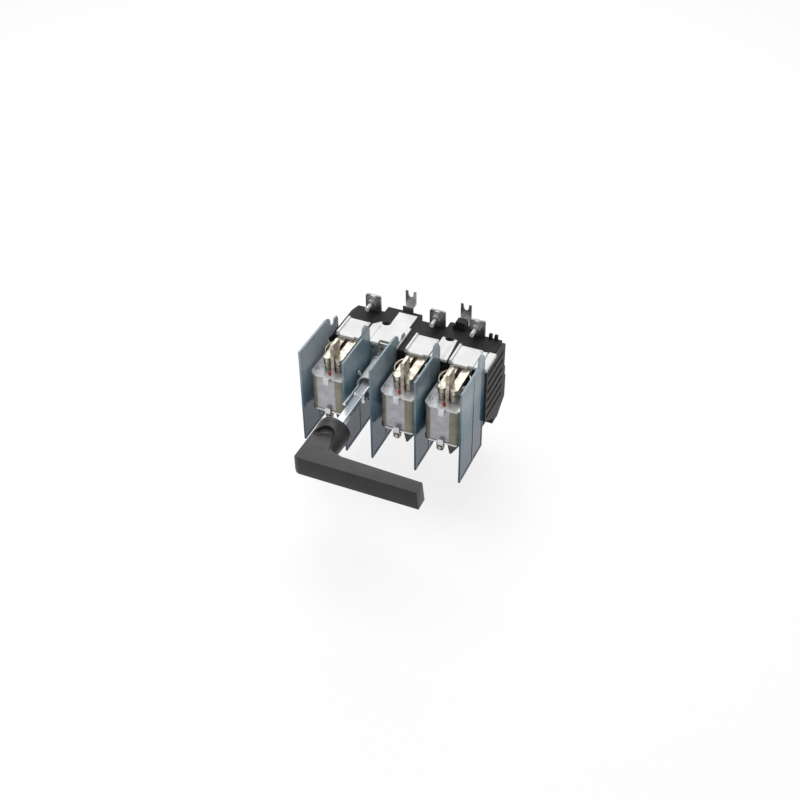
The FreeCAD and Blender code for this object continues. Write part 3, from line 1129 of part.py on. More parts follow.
def handle():
    neck_front = "(grip_front - grip_deep)"
    collar_front = "(neck_rear + collar_long)"
    collar = rod("neck_collar", "-y", (shaft_x, "-neck_rear", "shaft_lift"), "neck_radius", "collar_long")
    start = doc.addObject("Part::Circle", "neck_start")
    bind(start, "Radius", "neck_radius - neck_step")
    start.Placement = Placement(Vector(), TURNS["-y"])
    put(start, (shaft_x, f"-{collar_front}", "shaft_lift"))
    end = doc.addObject("Part::Ellipse", "neck_end")
    bind(end, "MajorRadius", "(neck_flare + neck_right)/2 - neck_step")
    bind(end, "MinorRadius", "grip_high/2 - neck_step")
    end.Placement = Placement(Vector(), TURNS["-y"])
    put(end, (f"{shaft_x} + (neck_right - neck_flare)/2", f"-({neck_front} + grip_deep/4)", "shaft_lift"))
    loft = doc.addObject("Part::Loft", "neck_loft")
    loft.Sections = [start, end]
    loft.Solid = True
    grip_body = new_body("grip_body")
    sketch = sketch_on(grip_body, "XZ_Plane", "grip_front")
    left, right = f"({shaft_x} - neck_flare)", f"({shaft_x} - neck_flare + grip_long)"
    low, high = "(shaft_lift - grip_high/2)", "(shaft_lift + grip_high/2)"
    polygon(sketch, [(left, low), (f"{right} + grip_draft", low), (right, high), (left, high)])
    bar = pad(grip_body, sketch, "grip_deep")
    bar.Reversed = True
    end_x, front = value_of(left), value_of("-grip_front")
    body_fillet(grip_body, "grip_end_round", lambda edge: runs_along(edge, "z")
                and abs(edge.Vertexes[0].X - end_x) < 0.01 and abs(edge.Vertexes[0].Y - front) < 0.01)
    body_fillet(grip_body, "grip_round", lambda edge: runs_along(edge, "x") and edge.Length > 50)

    plan = new_body("scoop_plan")
    sketch = sketch_on(plan, "XY_Plane", "shaft_lift - scoop_low")
    wall_x = f"({shaft_x} + scoop_right)"
    far_left = f"({shaft_x} - 2*neck_flare)"
    back = "(-neck_rear - scoop_back)"
    polygon(sketch, [(far_left, back), (wall_x, back), (wall_x, f"-{neck_front} + scoop_flare"),
                     (f"{shaft_x} + 2*neck_flare", f"-{neck_front} + scoop_flare"),
                     (f"{shaft_x} + 2*neck_flare", f"-{neck_front}"), (far_left, f"-{neck_front}")])
    pad(plan, sketch, "3*neck_radius")
    wall_value, back_value = value_of(wall_x), value_of(back)
    body_fillet(plan, "scoop_round", lambda edge: runs_along(edge, "z") and abs(edge.Vertexes[0].X - wall_value) < 0.01
                and abs(edge.Vertexes[0].Y - back_value) < 0.01)
    flare_value = value_of(f"-{neck_front} + scoop_flare")
    body_fillet(plan, "scoop_flare*0.8", lambda edge: runs_along(edge, "z")
                and abs(edge.Vertexes[0].X - wall_value) < 0.01 and abs(edge.Vertexes[0].Y - flare_value) < 0.01)
    side = new_body("scoop_side")
    sketch = sketch_on(side, "YZ_Plane", shaft_x)
    dip_y = f"({back} - scoop_long)"
    polygon(sketch, [(f"-{neck_front} - wall", high), (dip_y, "shaft_lift + scoop_low"),
                     (back, "shaft_lift + scoop_low"), (back, "shaft_lift + 2*neck_radius"),
                     (f"-{neck_front} - wall", "shaft_lift + 2*neck_radius")])
    pad(side, sketch, "6*neck_flare", midplane=True)
    low_value = value_of("shaft_lift + scoop_low")
    body_fillet(side, "scoop_round", lambda edge: runs_along(edge, "x")
                and abs(edge.Vertexes[0].Z - low_value) < 0.01 and abs(edge.Vertexes[0].Y - back_value) < 0.01)
    body_fillet(side, "3*scoop_round", lambda edge: runs_along(edge, "x")
                and abs(edge.Vertexes[0].Z - low_value) < 0.01 and edge.Vertexes[0].Y < back_value - 15
                and edge.Length > 50 and abs(edge.Vertexes[0].Y - value_of(dip_y)) < 0.01)
    scoop = doc.addObject("Part::MultiCommon", "neck_scoop")
    scoop.Shapes = [plan, side]
    carved = cut("neck_carved", join("neck_whole", [collar, loft]), [scoop])
    socket = box("handle_socket", (f"{shaft_x} - shaft_side/2 - socket_play", "-shaft_front - clearance",
                                   "shaft_lift - shaft_side/2 - socket_play"),
                 ("shaft_side + 2*socket_play", "shaft_front", "shaft_side + 2*socket_play"))
    keep(cut("handle_cut", join("handle_whole", [carved, grip_body]), [socket]), "handle")


housing()
rear_cover()
for side in foot_x:
    for level in foot_sign:
        mounting_foot(side, level)
foot_screws()
for pole in pole_x:
    pole_cover(pole)
mechanism_cover()
infill_cover()
strips()
end_cover()
for place in barrier_x:
    barrier(place)
mechanism_plate()
shaft_guide()
clamp_screw()
shaft_line()
locking_rod()
crank()
contact_carrier()
bridges()
for pole in pole_x:
    terminal_bar(pole, True)
    terminal_bar(pole, False)
    jaw(pole, True)
    jaw(pole, False)
terminal_fasteners()
jaw_springs()
for pole in pole_x:
    fuse_link(pole)
handle()
doc.recompute()

# Every object must be sound before anything is written.
failed = [item.Name for item in doc.Objects if {"Invalid", "Error"} & set(item.State)]
if failed:
    raise RuntimeError("failed objects: " + ", ".join(failed))
for item in sub_parts:
    if item.Shape.isNull() or not item.Shape.isValid() or not item.Shape.Solids:
        raise RuntimeError("unsound shape: " + item.Label)

os.makedirs("parts", exist_ok=True)
for item in sub_parts:
    item.Shape.exportStep(os.path.join("parts", item.Label + ".step"))
print(len(sub_parts), "sub-parts written")
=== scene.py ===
# %% [markdown]
# A fuse switch disconnector: a black switch housing for the back of a panel, three ceramic knife-blade
# fuse-links that stand between clear blue phase barriers, and a long bar handle on a square shaft.
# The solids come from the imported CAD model. This lesson dresses them: it gives each moulded, plated or
# fired surface a material worked out in millimetres. It models the handle again, because its looks depend
# on soft transitions, and adds the small pieces that the solids leave out: labels, screws and clips.

# %% Load the frame
import math

import bpy
from mathutils import Matrix, Vector


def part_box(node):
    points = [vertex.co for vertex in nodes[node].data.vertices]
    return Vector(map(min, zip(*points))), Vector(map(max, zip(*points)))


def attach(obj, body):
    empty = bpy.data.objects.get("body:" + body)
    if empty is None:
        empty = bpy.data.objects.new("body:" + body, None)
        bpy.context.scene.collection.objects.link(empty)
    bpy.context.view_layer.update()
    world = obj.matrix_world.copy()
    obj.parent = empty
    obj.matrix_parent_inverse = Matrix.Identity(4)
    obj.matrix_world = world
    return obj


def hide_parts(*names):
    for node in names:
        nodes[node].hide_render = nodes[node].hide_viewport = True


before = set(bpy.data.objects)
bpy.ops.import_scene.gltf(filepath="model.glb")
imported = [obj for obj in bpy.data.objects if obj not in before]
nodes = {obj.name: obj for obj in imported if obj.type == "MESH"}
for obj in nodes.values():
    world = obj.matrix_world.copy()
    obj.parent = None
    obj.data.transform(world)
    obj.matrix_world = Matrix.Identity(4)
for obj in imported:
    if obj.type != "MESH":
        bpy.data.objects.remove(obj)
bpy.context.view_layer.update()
MM = 0.001

# %% [markdown]
# The camera was fitted to points of the photograph: an ordinary 54 mm lens, high up and to the right.
# It is built from its three angles rather than aimed at a point, because the fit gave a small roll too.

# %% Camera
YAW, PITCH, ROLL = (math.radians(angle) for angle in (24.061, 39.179, -0.664))
CAMERA_PLACE = Vector((580.0, -1453.7, 1169.5)) * MM
camera = bpy.data.objects.new("camera", bpy.data.cameras.new("camera"))
bpy.context.scene.collection.objects.link(camera)
bpy.context.scene.camera = camera
camera.data.sensor_width = 36
camera.data.lens = 54
camera.data.clip_start, camera.data.clip_end = 0.05, 50
forward = Vector((-math.sin(YAW) * math.cos(PITCH), math.cos(YAW) * math.cos(PITCH), -math.sin(PITCH)))
level = Vector((math.cos(YAW), math.sin(YAW), 0))
upright = level.cross(forward)
across = math.cos(ROLL) * level + math.sin(ROLL) * upright
upward = math.cos(ROLL) * upright - math.sin(ROLL) * level
turn = Matrix((across, upward, -forward)).transposed().to_4x4()
camera.matrix_world = Matrix.Translation(CAMERA_PLACE) @ turn
print("camera distance to the origin in mm:", round(camera.location.length / MM))

# %% [markdown]
# Every finish below is a Principled shader whose colour, roughness and relief wander with noise on Object
# coordinates, because no moulded or plated surface is perfectly even. A noise scale is hard to judge by
# itself, so each one is given as the size in millimetres of its patches or grains.

# %% Colours, nodes and surfaces


def linear(hex_colour):
    """An sRGB hex colour as linear RGBA."""
    parts = [int(hex_colour[i:i + 2], 16) / 255 for i in (1, 3, 5)]
    return [c / 12.92 if c <= 0.04045 else ((c + 0.055) / 1.055) ** 2.4 for c in parts] + [1.0]


def node(tree, kind, settings=None, **links):
    """Add a node with its settings. A link or value is named for its socket, or _ and the socket's number."""
    made = tree.nodes.new(kind)
    for name, value in (settings or {}).items():
        setattr(made, name, value)
    for name, source in links.items():
        socket = made.inputs[int(name[1:])] if name[0] == "_" else made.inputs[name.replace("_", " ")]
        if isinstance(source, bpy.types.NodeSocket):
            tree.links.new(source, socket)
        else:
            socket.default_value = source
    return made


def wander(tree, size_mm, detail, squeeze=(1, 1, 1)):
    """A factor that wanders over patches size_mm across, fixed to the piece. They are long where squeeze is low."""
    place = node(tree, "ShaderNodeTexCoord").outputs["Object"]
    scaled = node(tree, "ShaderNodeMapping", Vector=place, Scale=squeeze).outputs[0]
    return node(tree, "ShaderNodeTexNoise", Vector=scaled, Scale=1 / (size_mm * MM), Detail=detail).outputs["Fac"]


def surface(name, colour, patches=None, wear=None, grain=None, squeeze=(1, 1, 1), **sockets):
    """A finish. patches: (mm, detail, low hex, high hex) of the colour. wear: (mm, detail, low, high) of the
    roughness. grain: (mm, detail, depth in mm, strength) of the relief. sockets: the shader's own values."""
    material = bpy.data.materials.new(name)
    material.use_nodes = True
    material.diffuse_color = linear(colour)
    tree = material.node_tree
    shader = tree.nodes["Principled BSDF"]
    shader.inputs["Base Color"].default_value = linear(colour)
    for socket, value in sockets.items():
        shader.inputs[socket.replace("_", " ")].default_value = value
    if patches:
        size_mm, detail, low, high = patches
        ramp = node(tree, "ShaderNodeValToRGB", Fac=wander(tree, size_mm, detail))
        for stop, position, tone in zip(ramp.color_ramp.elements, (0.35, 0.65), (low, high)):
            stop.position, stop.color = position, linear(tone)
        tree.links.new(ramp.outputs["Color"], shader.inputs["Base Color"])
    if wear:
        size_mm, detail, low, high = wear
        factor = wander(tree, size_mm, detail, squeeze)
        spread = node(tree, "ShaderNodeMapRange", Value=factor, To_Min=low, To_Max=high)
        tree.links.new(spread.outputs[0], shader.inputs["Roughness"])
    if grain:
        size_mm, detail, depth_mm, strength = grain
        bump = node(tree, "ShaderNodeBump", Height=wander(tree, size_mm, detail), Distance=depth_mm * MM,
                    Strength=strength)
        tree.links.new(bump.outputs[0], shader.inputs["Normal"])
    return material


grey = linear("#808080")[0]
print("the middle grey #808080 as linear light:", round(grey, 3))

# %% [markdown]
# The picture has a plain white ground. A large pale floor catches the shadow, and the world is white where
# the camera, gloss or glass looks straight at it, while it lights the object only softly. One large lamp
# stands overhead, a weak one left in front and one left behind, so tops are lighter than fronts.

# %% Floor and world
FLOOR_Z = -0.16  # in metres, a little below the object, so that its shadow is soft
FLOOR_GLOW = 0.75  # the share of the floor that shines by itself, so the rest can show the object's shadow
FLOOR_WHITE = 1.08  # how strongly that share shines
SKY_LIGHT = 0.22  # the world's strength as a light


def seen_straight(tree):
    """1 for the rays by which the ground is seen, directly or in gloss or glass, and 0 for its light."""
    ray = node(tree, "ShaderNodeLightPath")
    most = ray.outputs["Is Camera Ray"]
    for kind in ("Is Glossy Ray", "Is Transmission Ray"):
        most = node(tree, "ShaderNodeMath", {"operation": "MAXIMUM"}, _0=most, _1=ray.outputs[kind]).outputs[0]
    return most


bpy.ops.object.select_all(action="DESELECT")
bpy.ops.mesh.primitive_plane_add(size=12, location=(0, 0, FLOOR_Z))
floor = bpy.context.object
floor.name = "floor"
paper = surface("white_paper_floor", "#FFFFFF", Roughness=0.95, Specular_IOR_Level=0.0)
tree = paper.node_tree
glow = node(tree, "ShaderNodeMath", {"operation": "MULTIPLY"}, _0=seen_straight(tree), _1=FLOOR_GLOW).outputs[0]
plain = node(tree, "ShaderNodeEmission", Color=(1, 1, 1, 1), Strength=FLOOR_WHITE).outputs[0]
mixed = node(tree, "ShaderNodeMixShader", Fac=glow, _1=tree.nodes["Principled BSDF"].outputs[0], _2=plain)
tree.links.new(mixed.outputs[0], tree.nodes["Material Output"].inputs["Surface"])
floor.data.materials.append(paper)

world = bpy.data.worlds.new("studio")
world.use_nodes = True
bpy.context.scene.world = world
tree = world.node_tree
sky = tree.nodes["Background"]
sky.inputs["Color"].default_value = (1, 1, 1, 1)
strength = node(tree, "ShaderNodeMapRange", Value=seen_straight(tree), To_Min=SKY_LIGHT, To_Max=1.0)
tree.links.new(strength.outputs[0], sky.inputs["Strength"])

# %% Lamps
AIM = Vector((0.0, -0.15, 0.0))  # the middle of the fuse-links, in metres


def lamp(name, place, size, watts):
    """A square soft lamp at place, in metres, that looks at AIM."""
    data = bpy.data.lights.new(name, "AREA")
    data.shape, data.size, data.energy = "SQUARE", size, watts
    made = bpy.data.objects.new(name, data)
    bpy.context.scene.collection.objects.link(made)
    made.location = place
    made.rotation_mode = "QUATERNION"
    made.rotation_quaternion = (AIM - Vector(place)).to_track_quat("-Z", "Y")
    print(name, "lamp,", watts, "W, distance in m:", round((AIM - Vector(place)).length, 2))


lamp("overhead", (-0.6, 0.1, 3.3), 2.3, 68)
lamp("left_front", (-1.5, -1.7, 0.8), 1.0, 2.5)
lamp("left_back", (-0.75, 1.6, 1.45), 1.4, 11)
bpy.context.scene.view_settings.view_transform = "Standard"

# %% [markdown]
# The housing is pressed from glass-filled thermoset, the covers and the shaft's guide are moulded from white
# PBT, and the handle from glass-filled polyamide. All of them are dull, so what tells them apart is their
# tone, how broad their highlights are and how coarse the mould's texture is. The real grain is finer than
# the picture can show, so it is drawn coarser.

# %% Moulded housing, covers and handle
# Near-black and slightly brown, with hardly any gloss.
housing_moulding = surface("black_thermoset_moulding", "#151313", patches=(18, 2, "#100E0E", "#1B1818"),
                           grain=(0.9, 3, 0.05, 0.5), Roughness=0.7, Specular_IOR_Level=0.3)
# The ribbed end cover: the same compound, greyer from its spark-eroded texture.
end_moulding = surface("charcoal_textured_moulding", "#2A2829", patches=(7, 4, "#1E1C1D", "#302E2F"),
                       grain=(1.4, 4, 0.12, 0.8), Roughness=0.6, Specular_IOR_Level=0.35)
# Bright covers that stay just under pure white.
white_moulding = surface("white_pbt_moulding", "#F2F2F0", patches=(30, 2, "#EDEDEB", "#F8F8F7"),
                         grain=(0.7, 2, 0.01, 0.4), Roughness=0.42)
# The grip: dark grey, with broad soft highlights.
handle_moulding = surface("grey_polyamide_grip", "#312F30", patches=(25, 3, "#2C2A2B", "#363435"),
                          grain=(0.8, 2, 0.04, 0.5), Roughness=0.38, Specular_IOR_Level=0.32)
# The moving contacts' bar, inside the housing.
grey_moulding = surface("grey_insulating_moulding", "#5A5A5C", grain=(1, 2, 0.04, 0.5), Roughness=0.5)
print("mouldings:", housing_moulding.name, end_moulding.name, white_moulding.name, handle_moulding.name)

# %% [markdown]
# The phase barriers are smoke-blue polycarbonate sheet. They could be real glass shaders, but thin clear
# sheet among so many small parts shows mostly its tint and the light it catches. So colour and see-through
# both follow the height. The colour is the sheet's blue, with painted shade that deepens it low down and
# painted light that pales it at the top, and soft upright streaking of painted reflection over both. The
# sheet is also dense low down and clearer at the top.

# %% Barrier sheet
SHEET_FOOT, SHEET_TOP = -0.105, 0.09  # heights in metres between which the sheet pales
# The tints run from painted shade, deep blue low down, to painted light, pale at the top.
SHADE_TO_LIGHT_TINTS = ((0.1, "#213A4F"), (0.45, "#2C526D"), (0.7, "#446F8B"), (0.86, "#6890A7"), (0.98, "#A3BAC6"))
barrier_sheet = surface("blue_polycarbonate_sheet", "#56788F", Roughness=0.16, IOR=1.58, Specular_IOR_Level=0.3)
tree = barrier_sheet.node_tree
shader = tree.nodes["Principled BSDF"]
place = node(tree, "ShaderNodeTexCoord").outputs["Object"]
height = node(tree, "ShaderNodeSeparateXYZ", Vector=place).outputs["Z"]
climb = node(tree, "ShaderNodeMapRange", Value=height, From_Min=SHEET_FOOT, From_Max=SHEET_TOP).outputs[0]
dense = node(tree, "ShaderNodeMapRange", Value=climb, To_Min=1.0, To_Max=0.7).outputs[0]
tree.links.new(dense, shader.inputs["Alpha"])
# The soft upright streaking is painted reflection, laid over the painted shade and light.
reflection_streaks = wander(tree, 45, 3, (1, 1.6, 0.25))
shade_and_reflection = node(tree, "ShaderNodeMath", {"operation": "MULTIPLY_ADD"}, _0=reflection_streaks, _1=0.32, _2=climb).outputs[0]
ramp = node(tree, "ShaderNodeValToRGB", Fac=shade_and_reflection)
stops = ramp.color_ramp.elements
stops[0].position, stops[1].position = SHADE_TO_LIGHT_TINTS[0][0], SHADE_TO_LIGHT_TINTS[-1][0]
for position, tone in SHADE_TO_LIGHT_TINTS[1:-1]:
    stops.new(position)
for stop, (_, tone) in zip(stops, SHADE_TO_LIGHT_TINTS):
    stop.color = linear(tone)
tree.links.new(ramp.outputs["Color"], shader.inputs["Base Color"])
print("barrier tints:", [(round(stop.position, 2), tone) for stop, (_, tone) in zip(stops, SHADE_TO_LIGHT_TINTS)])

# %% [markdown]
# Five metals and platings. Their colour is what they mirror, so most of the difference lies in how rough
# each surface is: zinc plate is cloudy, drawn bar has fine lines along it, and stamped sheet is satin.

# %% Metals
# Clear-passivated zinc on steel: light grey, cloudy.
zinc_steel = surface("zinc_plated_steel", "#A9A9A8", patches=(9, 3, "#9C9C9B", "#B6B6B4"),
                     wear=(3, 4, 0.26, 0.42), Metallic=1.0, Roughness=0.34)
# Hot-tinned copper bar of the terminals: darker, with dull clouds.
tinned_bar = surface("tinned_copper_bar", "#8A898C", patches=(8, 3, "#6F6E71", "#98979B"),
                     wear=(3, 4, 0.32, 0.5), Metallic=1.0, Roughness=0.42)
# Drawn bar of the square shaft and its coupling: bright, with lines that run along Y.
bright_steel = surface("drawn_bright_steel", "#D3D6D9", wear=(1.2, 3, 0.14, 0.28), squeeze=(1, 0.05, 1),
                       Metallic=1.0, Roughness=0.2)
# Silver plate on the jaws, springs and blades: warm, with tarnish in patches.
silver_plate = surface("silver_plated_copper", "#BBB3A6", patches=(7, 3, "#8D8578", "#CFC8BB"),
                       wear=(2.5, 3, 0.25, 0.42), Metallic=1.0, Roughness=0.32)
# Stamped sheet of the fuse-links' end plates: pale satin.
end_plate_metal = surface("stamped_aluminium", "#C9CACC", patches=(11, 3, "#BFC0C2", "#D3D4D6"),
                          wear=(2, 3, 0.3, 0.44), Metallic=1.0, Roughness=0.36)
print("metals:", [m.name for m in (zinc_steel, tinned_bar, bright_steel, silver_plate, end_plate_metal)])

# %% [markdown]
# The fuse-links' bodies are unglazed steatite, a dense beige ceramic that is pressed and fired. The blown-fuse
# indicator on each is a small red moulded pin.

# %% Ceramic and indicator
steatite = surface("fired_steatite", "#A69C86", patches=(16, 3, "#9C9582", "#B3AC9A"),
                   grain=(1.1, 3, 0.05, 0.5), Roughness=0.5)
red_pin = surface("red_moulded_pin", "#A81E17", wear=(1, 2, 0.25, 0.4), Roughness=0.3)
print("fuse-link finishes:", steatite.name, red_pin.name)

# %% Dress the CAD nodes
# The longest start that fits a node's name gives its finish.
finishes = {
    housing_moulding: ("base_housing", "rear_cover"), end_moulding: ("right_end_cover",),
    white_moulding: ("shaft_guide", "mechanism_cover", "infill_cover", "narrow_end_strip", "wide_end_strip",
                     "pole_cover"),
    handle_moulding: ("handle",), grey_moulding: ("contact_carrier",), barrier_sheet: ("phase_barrier",),
    bright_steel: ("handle_shaft", "shaft_coupling", "locking_rod", "bridge_springs"),
    zinc_steel: ("mechanism_plate", "clamp_screw", "drive_spindle", "drive_crank", "foot_screws", "terminal_bolts",
                 "terminal_nuts", "terminal_washers", "mounting_foot"),
    tinned_bar: ("upper_terminal", "lower_terminal"),
    silver_plate: ("contact_bridges", "jaw_springs", "upper_jaw", "lower_jaw", "fuse_blades"),
    steatite: ("fuse_body",), end_plate_metal: ("fuse_end_plates",), red_pin: ("fuse_indicator",),
}
chosen = {start: material for material, starts in finishes.items() for start in starts}
for name, solid in nodes.items():
    start = max((start for start in chosen if name.startswith(start)), key=len)
    solid.data.materials.clear()
    solid.data.materials.append(chosen[start])
print("dressed", len(nodes), "nodes in", len(finishes), "finishes")

# %% [markdown]
# New pieces are modelled as by hand. A primitive is added at its size and place, and then edges and faces are
# picked by their place and bevelled, inset or moved. Joins and cuts are exact Booleans, which are quick for
# hard plastic and metal forms, and a narrow bevel at the end gives each edge the light that a real one catches.

# %% Selecting and editing


def only(piece):
    """Select this piece and nothing else."""
    bpy.ops.object.select_all(action="DESELECT")
    piece.select_set(True)
    bpy.context.view_layer.objects.active = piece


def start_edit(piece):
    only(piece)
    bpy.ops.object.mode_set(mode="EDIT")
    bpy.ops.mesh.select_all(action="SELECT")


def end_edit():
    bpy.ops.object.mode_set(mode="OBJECT")


def pick(piece, kind, rule):
    """In edit mode, select the vertices, edges or faces whose corners, in mm, pass the rule."""
    bpy.ops.mesh.select_mode(type=kind)
    bpy.ops.mesh.select_all(action="DESELECT")
    bpy.ops.object.mode_set(mode="OBJECT")
    mesh = piece.data
    for part in {"VERT": mesh.vertices, "EDGE": mesh.edges, "FACE": mesh.polygons}[kind]:
        spots = [part.co] if kind == "VERT" else [mesh.vertices[v].co for v in part.vertices]
        part.select = bool(rule([spot / MM for spot in spots]))
    bpy.ops.object.mode_set(mode="EDIT")


def metres(spot):
    """A spot in mm, as a Vector or as three numbers, in metres."""
    return spot * MM if isinstance(spot, Vector) else [value * MM for value in spot]


def shift(x, y, z):
    """Move what is selected, in mm."""
    bpy.ops.transform.translate(value=(x * MM, y * MM, z * MM))


def rotate(degrees, axis, centre=(0, 0, 0)):
    """Turn what is selected about a centre in mm. A positive angle is clockwise when the axis points at you."""
    bpy.ops.transform.rotate(value=math.radians(degrees), orient_axis=axis, center_override=metres(centre))


def resize(x, y, z, centre=(0, 0, 0)):
    """Scale what is selected about a centre in mm."""
    bpy.ops.transform.resize(value=(x, y, z), center_override=metres(centre))


def bevel(width_mm, segments):
    """Round the selected edges."""
    bpy.ops.mesh.bevel(offset=width_mm * MM, segments=segments, affect="EDGES")


def inset(thickness_mm, depth_mm):
    bpy.ops.mesh.inset(thickness=thickness_mm * MM, depth=depth_mm * MM)


# %% Adding, joining and finishing


def block(name, low, high):
    """A cube between two corners in mm."""
    bpy.ops.object.select_all(action="DESELECT")
    bpy.ops.mesh.primitive_cube_add(size=1, location=[(a + b) / 2 * MM for a, b in zip(low, high)])
    made = bpy.context.object
    made.name = name
    made.scale = [(b - a) * MM for a, b in zip(low, high)]
    bpy.ops.object.transform_apply(location=True, rotation=True, scale=True)
    return made


def round_bar(name, radius, length, middle, sides, along_y=False):
    """A cylinder about its middle, along Z or Y, in mm."""
    bpy.ops.object.select_all(action="DESELECT")
    bpy.ops.mesh.primitive_cylinder_add(radius=radius * MM, depth=length * MM, vertices=sides,
                                        location=metres(middle), rotation=(math.pi / 2 if along_y else 0, 0, 0))
    made = bpy.context.object
    made.name = name
    bpy.ops.object.transform_apply(location=True, rotation=True, scale=True)
    return made


def drop(piece):
    mesh = piece.data
    bpy.data.objects.remove(piece)
    bpy.data.meshes.remove(mesh)


def modify(piece, kind, **settings):
    """Add a modifier, set it and apply it."""
    only(piece)
    made = piece.modifiers.new(kind.lower(), kind)
    for setting, value in settings.items():
        setattr(made, setting, value)
    bpy.ops.object.modifier_apply(modifier=made.name)


def combine(piece, other, operation):
    """Join or cut exactly, then weld the points that the cut left on one spot."""
    weld = 0.004 * MM
    modify(piece, "BOOLEAN", operation=operation, solver="EXACT", object=other)
    drop(other)
    start_edit(piece)
    bpy.ops.mesh.remove_doubles(threshold=weld)
    bpy.ops.mesh.dissolve_degenerate(threshold=weld)
    end_edit()


def soften(piece, width_mm, segments, angle=30, smooth=True):
    """Bevel the edges that are sharper than angle, then shade the piece smooth between its edges."""
    modify(piece, "BEVEL", width=width_mm * MM, segments=segments, limit_method="ANGLE",
           angle_limit=math.radians(angle))
    if smooth:
        bpy.ops.object.shade_smooth_by_angle(angle=math.radians(40))


def copy_of(pattern, name):
    """A copy with its own mesh."""
    only(pattern)
    bpy.ops.object.duplicate()
    bpy.context.object.name = name
    return bpy.context.object


def open_edges(piece):
    """How many edges don't have exactly two faces: none on a closed solid."""
    count = {}
    for face in piece.data.polygons:
        for key in face.edge_keys:
            count[key] = count.get(key, 0) + 1
    return sum(number != 2 for number in count.values())


def settle(piece, material, body, slot, *replaced):
    """Give a finished piece its material and body, and hide the nodes that it stands for. slot is not used."""
    piece.data.materials.clear()
    piece.data.materials.append(material)
    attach(piece, body)
    if replaced:
        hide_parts(*replaced)
    print(piece.name, "faces:", len(piece.data.polygons), "open edges:", open_edges(piece))


def reach(name, axis):
    """Where a CAD node starts, has its middle and ends along an axis, in mm."""
    low, high = (corner[axis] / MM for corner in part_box(name))
    return round(low, 2), round((low + high) / 2, 2), round(high, 2)


# %% [markdown]
# The handle is one polyamide moulding: a stout round neck over the shaft that runs out into a flat bar,
# with a thumb scoop in the neck's top. A loft or a subdivided cage could blend the two, but the real scoop
# has a crisp crescent ridge. So the neck and the bar are solids that are joined, and one soft cutter makes
# the scoop. The bar comes first: it narrows to the right, and its left end takes the round of the neck.

# %% Handle: bar
SHAFT_X, SHAFT_Z = reach("handle_shaft", 0)[1], reach("handle_shaft", 2)[1]
GRIP_FRONT, GRIP_BACK = reach("handle", 1)[0], -342.5
GRIP_LEFT, GRIP_RIGHT = -72.3, 119
GRIP_HALF = 15.5  # half the bar's height
GRIP_TOP = SHAFT_Z + GRIP_HALF
GRIP_TAPER, GRIP_LEAN, GRIP_CORNER = 7, 3.5, 13
NECK_R = 25.2

handle = block("handle_moulding", (GRIP_LEFT, GRIP_FRONT, SHAFT_Z - GRIP_HALF), (GRIP_RIGHT, GRIP_BACK, GRIP_TOP))
start_edit(handle)
# The back comes forward towards the right end.
pick(handle, "VERT", lambda spot: spot[0].x > 0 and spot[0].y > GRIP_BACK - 1)
shift(0, -GRIP_TAPER, 0)
# The right end leans outwards at the bottom.
pick(handle, "VERT", lambda spot: spot[0].x > 0 and spot[0].z < SHAFT_Z)
shift(GRIP_LEAN, 0, 0)
# A big soft corner at the left end, where the neck's side runs round into the front.
pick(handle, "EDGE", lambda ends: all(end.x < 0 and end.y < GRIP_FRONT + 1 for end in ends))
bevel(GRIP_CORNER, 12)
end_edit()
# What lies outside the neck's round is cut off the left end.
outside = block("outside", (-95, -380, 0), (SHAFT_X, -335, 70))
combine(outside, round_bar("round_end", NECK_R + 0.1, 55, (SHAFT_X, -357.5, SHAFT_Z), 96, along_y=True), "DIFFERENCE")
combine(handle, outside, "DIFFERENCE")
soften(handle, 2.2, 4, smooth=False)
print("bar, mm:", [round(size / MM, 1) for size in handle.dimensions])

# %% [markdown]
# The neck is a cylinder whose underside rises to the bar's underside, with a slight collar at its rear end. In
# front its top is cut flush with the bar's, and in the corner to its right a block with a hollow cut out of it
# makes the flare by which the neck runs out along the bar.

# %% Handle: neck
NECK_REAR, NECK_FRONT = -283, -350
COLLAR_LONG, COLLAR_STEP = 9, 0.5
HIDDEN = 2  # how far the neck starts inside its collar, so that their rear faces don't lie on each other
FLUSH_FROM = -340.2
FLARE_END, FLARE_REAR, FLARE_WIDE, FLARE_DEEP = -8, -330.8, 19, 13

neck_middle = (NECK_REAR - HIDDEN + NECK_FRONT) / 2
neck = round_bar("neck", NECK_R, NECK_REAR - HIDDEN - NECK_FRONT, (SHAFT_X, neck_middle, SHAFT_Z), 96, along_y=True)
start_edit(neck)
pick(neck, "VERT", lambda spot: spot[0].y < NECK_FRONT + 1 and spot[0].z < SHAFT_Z)
resize(1, 1, (GRIP_HALF - 0.1) / NECK_R, (0, NECK_FRONT, SHAFT_Z))
end_edit()
collar = round_bar("collar", NECK_R + COLLAR_STEP, COLLAR_LONG, (SHAFT_X, NECK_REAR - COLLAR_LONG / 2, SHAFT_Z), 96,
                   along_y=True)
soften(collar, 0.8, 3, smooth=False)
combine(neck, collar, "UNION")
combine(neck, block("flush", (-80, -356, GRIP_TOP - 0.05), (-15, FLUSH_FROM, GRIP_TOP + 14)), "DIFFERENCE")

flare = block("flare", (-40, -348, 20.5), (FLARE_END, FLARE_REAR, GRIP_TOP - 0.1))
hollow_x, hollow_y = FLARE_END - 0.15, FLARE_REAR + 0.15
hollow = round_bar("hollow", FLARE_DEEP, 60, (hollow_x, hollow_y, SHAFT_Z), 72)
start_edit(hollow)
resize(FLARE_WIDE / FLARE_DEEP, 1, 1, (hollow_x, 0, 0))
end_edit()
combine(flare, hollow, "DIFFERENCE")
combine(neck, flare, "UNION")
combine(handle, neck, "UNION")
print("neck and bar joined, faces:", len(handle.data.polygons), "open edges:", open_edges(handle))

# %% [markdown]
# The scoop's cutter is an upright cylinder with a rounded bottom edge. Its back half stays a half circle, which
# leaves the crescent ridge. Its front half is drawn out over the bar and opened to both sides, so that the floor
# of the scoop runs out flush with the top of the bar.

